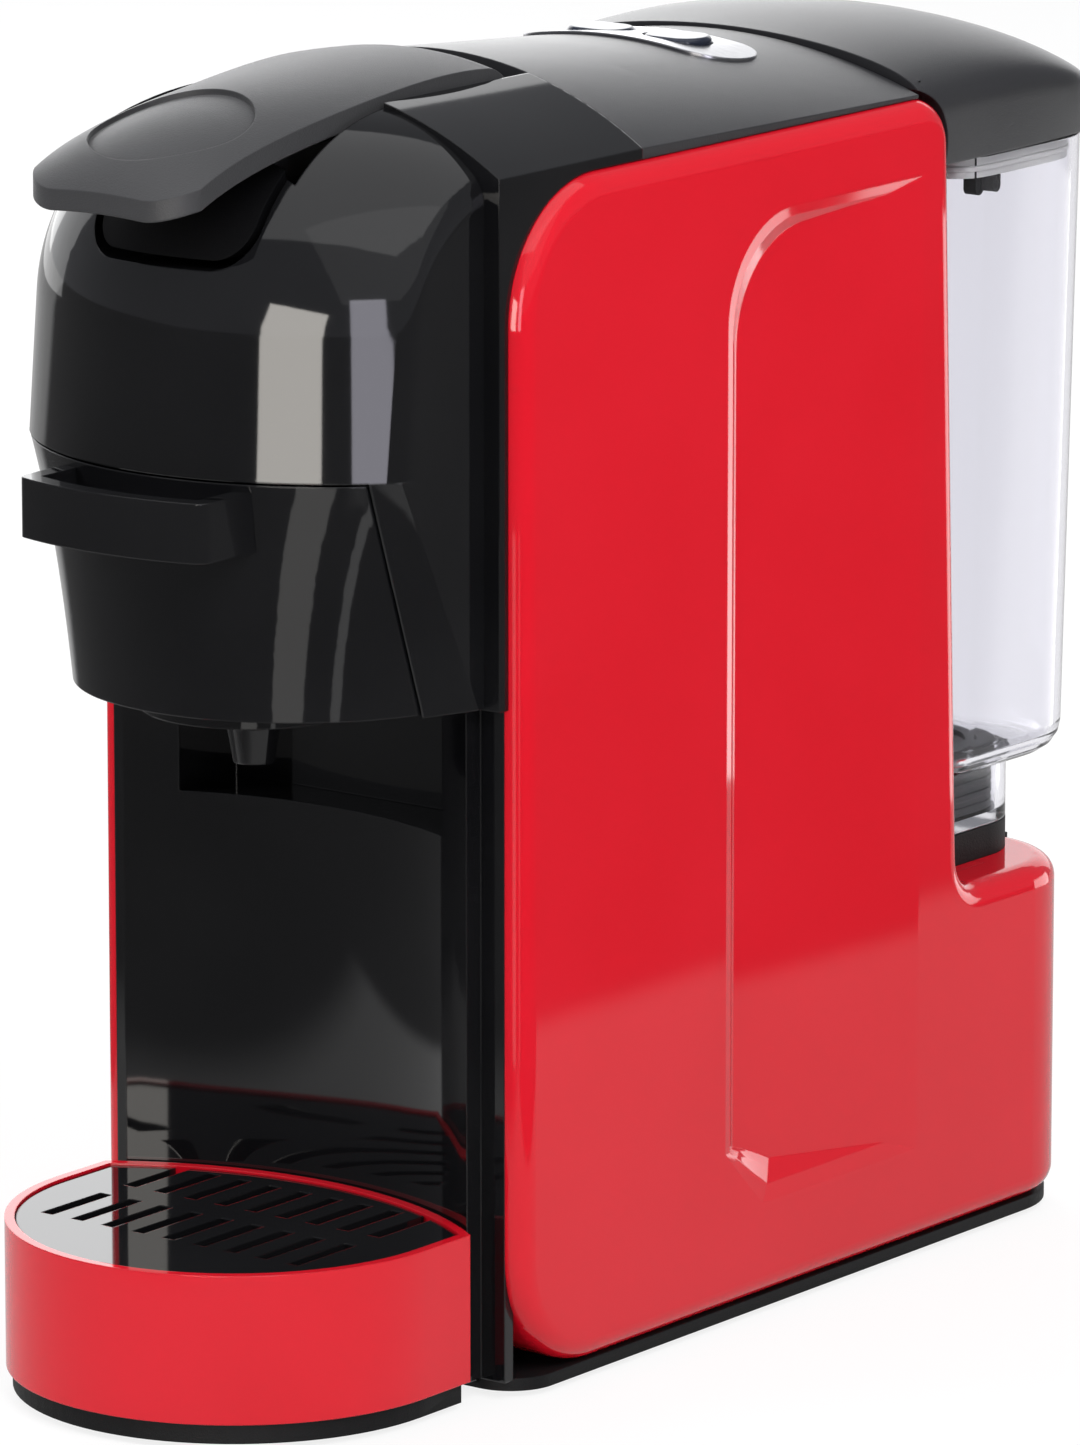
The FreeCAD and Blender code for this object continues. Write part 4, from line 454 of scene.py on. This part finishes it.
def apply_modifier(piece, kind, **settings):
    made = piece.modifiers.new(kind.lower(), kind)
    for key, setting in settings.items():
        setattr(made, key, setting)
    bpy.context.view_layer.objects.active = piece
    bpy.ops.object.modifier_apply(modifier=made.name)


def cut_away(piece, tool):
    apply_modifier(piece, "BOOLEAN", operation="DIFFERENCE", object=tool, solver="EXACT")
    bpy.data.objects.remove(tool)


def hand_over(piece, slot, body, *stood_for):
    """Give a finished piece the material of its slot, smooth shading and its body."""
    deselect_all()
    piece.select_set(True)
    bpy.context.view_layer.objects.active = piece
    bpy.ops.object.shade_smooth_by_angle(angle=SMOOTH_ANGLE)
    piece.data.materials.clear()
    piece.data.materials.append(FINISHES[slot])
    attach(piece, body)
    if stood_for:
        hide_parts(*stood_for)


# Base plate
def rounded_base():
    """The base plate with its two front corners rounded off under the side panels."""
    deselect_all()
    plate = nodes["base_plate"].copy()
    plate.data = nodes["base_plate"].data.copy()
    plate.name = "rounded_base"
    scene.collection.objects.link(plate)
    plate.select_set(True)
    bpy.context.view_layer.objects.active = plate
    bpy.ops.object.mode_set(mode="EDIT")
    bpy.ops.mesh.select_all(action="SELECT")
    bpy.ops.mesh.remove_doubles(threshold=WELD)
    bpy.ops.object.mode_set(mode="OBJECT")
    half = max(corner.co.x for corner in plate.data.vertices)
    front_y = min(corner.co.y for corner in plate.data.vertices if corner.co.x > half - TINY)
    for side in (-1.0, 1.0):
        inner_x = side * (half - BASE_ROUND)
        low_x, high_x = sorted((inner_x, side * (half + BASE_ROUND)))
        corner = block_piece("base_corner", (low_x, front_y - BASE_ROUND, -BASE_ROUND),
                             (high_x, front_y + BASE_ROUND, BASE_ROUND))
        deselect_all()
        bpy.ops.mesh.primitive_cylinder_add(vertices=64, radius=BASE_ROUND, depth=4 * BASE_ROUND,
                                            location=(inner_x, front_y + BASE_ROUND, 0.0))
        cut_away(corner, bpy.context.object)
        cut_away(plate, corner)
    hand_over(plate, "black_matte", "machine_body", "base_plate")


# Tank lid
def lid_cap():
    """Soft dome over the tank, with a nose that follows the rear corners of the side panels."""
    cap = block_piece("lid_cap", (-LID_HALF, LID_NOSE_Y, LID_LOW_Z), (LID_HALF, LID_REAR_Y, LID_CROWN_Z))
    bpy.ops.object.mode_set(mode="EDIT")
    slice_at(0, -LID_SHOULDER_X, 0.0, LID_SHOULDER_X)
    slice_at(1, LID_MIDDLE_Y, LID_TAIL_Y)
    slice_at(2, LID_WAIST_Z)
    choose("VERT", lambda p: p.z > LID_CROWN_Z - NEAR and abs(p.x) > LID_HALF - NEAR)
    shift(0.0, 0.0, -LID_SIDE_DROP)
    choose("VERT", lambda p: p.z > LID_CROWN_Z - NEAR and abs(p.x) > LID_SHOULDER_X - NEAR)
    shift(0.0, 0.0, -LID_SHOULDER_DROP)
    choose("VERT", lambda p: p.z > LID_TOP_Z and p.y < LID_NOSE_Y + NEAR)
    shift(0.0, 0.0, -LID_NOSE_DROP)
    choose("VERT", lambda p: p.z > LID_TOP_Z and abs(p.y - LID_TAIL_Y) < NEAR)
    shift(0.0, 0.0, -LID_TAIL_DROP)
    choose("VERT", lambda p: p.z > LID_TOP_Z and p.y > LID_REAR_Y - NEAR)
    shift(0.0, -LID_REAR_LEAN, -LID_REAR_DROP)
    choose("VERT", lambda p: abs(p.x) > LID_HALF - NEAR and p.y > LID_TAIL_Y + NEAR)
    bpy.ops.transform.resize(value=(LID_REAR_TAPER, 1.0, 1.0), center_override=(0.0, 0.0, 0.0))
    shift(0.0, -LID_CORNER_LEAN, 0.0)
    for wanted in (lambda p: p.z < LID_LOW_Z + TINY, lambda p: p.y < LID_NOSE_Y + TINY):
        choose("FACE", wanted)
        bpy.ops.mesh.region_to_loop()
        bpy.ops.transform.edge_crease(value=1.0)
    bpy.ops.object.mode_set(mode="OBJECT")
    apply_modifier(cap, "SUBSURF", levels=3, render_levels=3)
    deselect_all()
    bpy.ops.mesh.primitive_cylinder_add(vertices=96, radius=PANEL_CORNER_RADIUS, depth=4 * LID_HALF,
                                        location=(0.0, PANEL_CORNER_Y, PANEL_CORNER_Z),
                                        rotation=(0.0, math.pi / 2, 0.0))
    cut_away(cap, bpy.context.object)
    elbow_z = PANEL_CORNER_Z + math.sqrt(PANEL_CORNER_RADIUS ** 2 - (LID_FRONT_Y - PANEL_CORNER_Y) ** 2)
    cut_away(cap, block_piece("panel_room", (-2 * LID_HALF, LID_NOSE_Y - 2 * CUT_ROOM, LID_LOW_Z - CUT_ROOM),
                              (2 * LID_HALF, LID_FRONT_Y, elbow_z)))
    deselect_all()
    cap.select_set(True)
    bpy.context.view_layer.objects.active = cap
    bpy.ops.object.mode_set(mode="EDIT")
    choose("FACE", lambda p: p.z < LID_LOW_Z + TINY)
    bpy.ops.mesh.delete(type="FACE")
    bpy.ops.object.mode_set(mode="OBJECT")
    apply_modifier(cap, "SOLIDIFY", thickness=LID_WALL, offset=-1.0, use_even_offset=True)
    hand_over(cap, "grey_satin", "tank_lid", "tank_lid", "lid_nose")


def lid_skirt():
    """Pale ring with a sealing bead that drops into the tank's mouth."""
    ring = block_piece("lid_skirt", SKIRT_LOW, SKIRT_HIGH)
    bpy.ops.object.mode_set(mode="EDIT")
    round_corners(SKIRT_LOW, SKIRT_HIGH, SKIRT_FRONT_ROUND, SKIRT_REAR_ROUND)
    choose("FACE", lambda p: p.z < SKIRT_LOW.z + TINY or p.z > SKIRT_HIGH.z - TINY)
    bpy.ops.mesh.delete(type="FACE")
    slice_at(2, *SKIRT_BEAD_Z)
    choose("FACE", lambda p: SKIRT_BEAD_Z[0] < p.z < SKIRT_BEAD_Z[1])
    raise_faces(SKIRT_BEAD)
    bpy.ops.object.mode_set(mode="OBJECT")
    apply_modifier(ring, "SOLIDIFY", thickness=SKIRT_WALL, offset=-1.0)
    hand_over(ring, "tube_silicone", "tank_lid")


def lid_lugs():
    """Two dark lugs on each side under the lid, with rounded tips."""
    lug = block_piece("lid_lugs", LUG_LOW, LUG_HIGH)
    middle_x = (LUG_LOW.x + LUG_HIGH.x) / 2
    bpy.ops.object.mode_set(mode="EDIT")
    choose("EDGE", lambda p: p.z < LUG_LOW.z + NEAR / 2 and abs(p.x - middle_x) < NEAR / 2)
    bpy.ops.mesh.bevel(offset=LUG_TIP_ROUND, segments=5, affect="EDGES")
    choose("FACE", lambda p: p.x > LUG_HIGH.x - TINY)
    bpy.ops.mesh.inset(thickness=LUG_BORDER)
    raise_faces(-LUG_SINK)
    bpy.ops.object.mode_set(mode="OBJECT")
    for move in ((0.0, LUG_STEP, 0.0), (-2 * middle_x, 0.0, 0.0)):
        bpy.ops.object.duplicate(linked=False)
        shift(*move)
        bpy.ops.object.transform_apply(location=True, rotation=True, scale=True)
        lug.select_set(True)
        bpy.context.view_layer.objects.active = lug
        bpy.ops.object.join()
    hand_over(lug, "black_matte", "tank_lid")


# Tank neck
def neck_strainer():
    """Ribbed basket in the tank's neck, over the valve."""
    basket = block_piece("neck_strainer", BASKET_LOW, BASKET_HIGH)
    bpy.ops.object.mode_set(mode="EDIT")
    round_corners(BASKET_LOW, BASKET_HIGH, BASKET_FRONT_ROUND, BASKET_REAR_ROUND)
    choose("FACE", lambda p: p.z < BASKET_LOW.z + TINY)
    bpy.ops.mesh.delete(type="FACE")
    choose("FACE", lambda p: p.z > BASKET_HIGH.z - TINY)
    bpy.ops.mesh.inset(thickness=BASKET_BORDER)
    raise_faces(-BASKET_SINK)
    levels = [BASKET_RIB_Z + BASKET_RIB_STEP * step for step in range(BASKET_RIB_EDGES)]
    slice_at(2, *levels)
    for low, high in zip(levels[::2], levels[1::2]):
        choose("FACE", lambda p: low < p.z < high)
        raise_faces(-BASKET_GROOVE)
    bpy.ops.object.mode_set(mode="OBJECT")
    apply_modifier(basket, "SOLIDIFY", thickness=BASKET_WALL, offset=-1.0)
    hand_over(basket, "soft_grey", "tank")


# Stage
def add_floor():
    """White ground that glows to the camera and is dimmed in mirror images away from the machine."""
    deselect_all()
    bpy.ops.mesh.primitive_circle_add(vertices=96, radius=FLOOR_RADIUS, fill_type="NGON")
    floor = bpy.context.object
    floor.name = "floor"
    material = bpy.data.materials.new("floor_white")
    material.use_nodes = True
    tree = material.node_tree
    shader = tree.nodes["Principled BSDF"]
    shader.inputs["Base Color"].default_value = (FLOOR_WHITE, FLOOR_WHITE, FLOOR_WHITE, 1.0)
    shader.inputs["Roughness"].default_value = FLOOR_ROUGHNESS
    glow = tree.nodes.new("ShaderNodeEmission")
    rays = tree.nodes.new("ShaderNodeLightPath")
    place = tree.nodes.new("ShaderNodeTexCoord")
    apart = tree.nodes.new("ShaderNodeSeparateXYZ")
    tree.links.new(place.outputs["Object"], apart.inputs["Vector"])

    def combine(operation, first, second=None, clamp=False):
        made = tree.nodes.new("ShaderNodeMath")
        made.operation = operation
        made.use_clamp = clamp
        for socket, given in zip(made.inputs, (first, second)):
            if isinstance(given, (int, float)):
                socket.default_value = given
            elif given is not None:
                tree.links.new(given, socket)
        return made.outputs["Value"]

    def near(place, bounds):
        """1 up to the first bound and 0 past the second."""
        made = tree.nodes.new("ShaderNodeMapRange")
        made.interpolation_type = "SMOOTHSTEP"
        made.inputs["From Min"].default_value = bounds[1]
        made.inputs["From Max"].default_value = bounds[0]
        tree.links.new(place, made.inputs["Value"])
        return made.outputs["Result"]

    close = combine("MULTIPLY", near(combine("ABSOLUTE", apart.outputs["X"]), FLOOR_SHINE_SIDE),
                    near(apart.outputs["Y"], FLOOR_SHINE_FRONT))
    behind = combine("MULTIPLY", near(apart.outputs["X"], FLOOR_SHINE_LEFT),
                     near(apart.outputs["Y"], FLOOR_SHINE_REAR))
    shine = combine("ADD", combine("MULTIPLY", combine("MAXIMUM", close, behind), FLOOR_SHINE - FLOOR_DARK),
                    FLOOR_DARK)
    mirrored = combine("SUBTRACT", rays.outputs["Is Glossy Ray"], rays.outputs["Is Transmission Ray"],
                       clamp=True)
    dim = combine("MULTIPLY", combine("SUBTRACT", 1.0, shine), mirrored)
    tree.links.new(combine("SUBTRACT", 1.0, dim), glow.inputs["Strength"])
    seen = combine("ADD", rays.outputs["Is Camera Ray"], rays.outputs["Is Transmission Ray"], clamp=True)
    seen = combine("MULTIPLY", seen, 1.0 - FLOOR_SHADOW_SHARE)
    mix = tree.nodes.new("ShaderNodeMixShader")
    tree.links.new(combine("ADD", seen, mirrored, clamp=True), mix.inputs["Fac"])
    tree.links.new(shader.outputs["BSDF"], mix.inputs[1])
    tree.links.new(glow.outputs["Emission"], mix.inputs[2])
    tree.links.new(mix.outputs["Shader"], tree.nodes["Material Output"].inputs["Surface"])
    floor.data.materials.append(material)


def softbox(name, azimuth, elevation, distance, width, height, power, mirrored=True):
    data = bpy.data.lights.new(name, "AREA")
    data.shape = "RECTANGLE"
    data.size = width
    data.size_y = height
    data.energy = power
    lamp = bpy.data.objects.new(name, data)
    lamp.location = LIGHT_CENTRE + direction(math.radians(azimuth), math.radians(elevation)) * distance
    aim(lamp, LIGHT_CENTRE)
    lamp.visible_camera = False
    lamp.visible_glossy = mirrored
    scene.collection.objects.link(lamp)
    return lamp


def card(name, azimuth, elevation, distance, width, height, glow, colour=WHITE, roll=0.0):
    """A white card that shows only in reflections; roll turns it about its own axis."""
    lamp = softbox(name, azimuth, elevation, distance, width, height, math.pi * width * height * glow)
    lamp.rotation_euler.rotate_axis("Z", math.radians(roll))
    lamp.data.color = colour
    lamp.visible_diffuse = False
    lamp.visible_transmission = False
    return lamp


def low_card(name, azimuth, distance, width, height, glow, middle_z, colour=WHITE):
    """A card that stands near the floor, where upright faces mirror it."""
    lamp = card(name, azimuth, 0.0, distance, width, height, glow, colour)
    lamp.location.z = middle_z


def add_lights():
    softbox("key_softbox", azimuth=62.0, elevation=42.0, distance=1.7, width=0.9, height=0.9, power=26.0,
            mirrored=False)
    softbox("key_cloth", azimuth=66.0, elevation=40.0, distance=1.9, width=2.0, height=1.6, power=3.0)
    softbox("top_softbox", azimuth=20.0, elevation=82.0, distance=1.7, width=2.6, height=2.4, power=18.0)
    softbox("fill_softbox", azimuth=-48.0, elevation=24.0, distance=1.9, width=0.7, height=1.2, power=17.0,
            mirrored=False)
    softbox("rear_softbox", azimuth=238.0, elevation=34.0, distance=1.9, width=1.0, height=1.0, power=20.0,
            mirrored=False)
    card("front_card", azimuth=21.0, elevation=4.0, distance=1.6, width=0.62, height=0.56, glow=9.0,
         colour=WARM_WHITE, roll=-12.0)
    card("camera_card", azimuth=48.0, elevation=6.0, distance=1.6, width=0.36, height=0.70, glow=5.0,
         colour=COOL_WHITE)
    card("left_cloth", azimuth=-118.0, elevation=12.0, distance=2.2, width=2.4, height=1.6, glow=0.9)
    card("back_cloth", azimuth=217.0, elevation=15.0, distance=2.6, width=3.4, height=1.5, glow=1.25)
    low_card("field_card", azimuth=158.0, distance=0.55, width=0.20, height=0.20, glow=3.0, middle_z=0.06)
    low_card("holder_card_front", azimuth=26.0, distance=0.36, width=0.075, height=0.13, glow=1.1,
             middle_z=0.07, colour=PALE_WARM_WHITE)
    low_card("holder_card_side", azimuth=45.0, distance=0.36, width=0.024, height=0.13, glow=0.9,
             middle_z=0.07)
    world = bpy.data.worlds.new("studio")
    world.use_nodes = True
    background = world.node_tree.nodes["Background"]
    background.inputs["Color"].default_value = WORLD_GREY
    background.inputs["Strength"].default_value = WORLD_LEVEL
    scene.world = world


add_camera()
dress_nodes()
rounded_base()
lid_cap()
lid_skirt()
lid_lugs()
neck_strainer()
add_floor()
add_lights()
scene.view_settings.view_transform = "Standard"
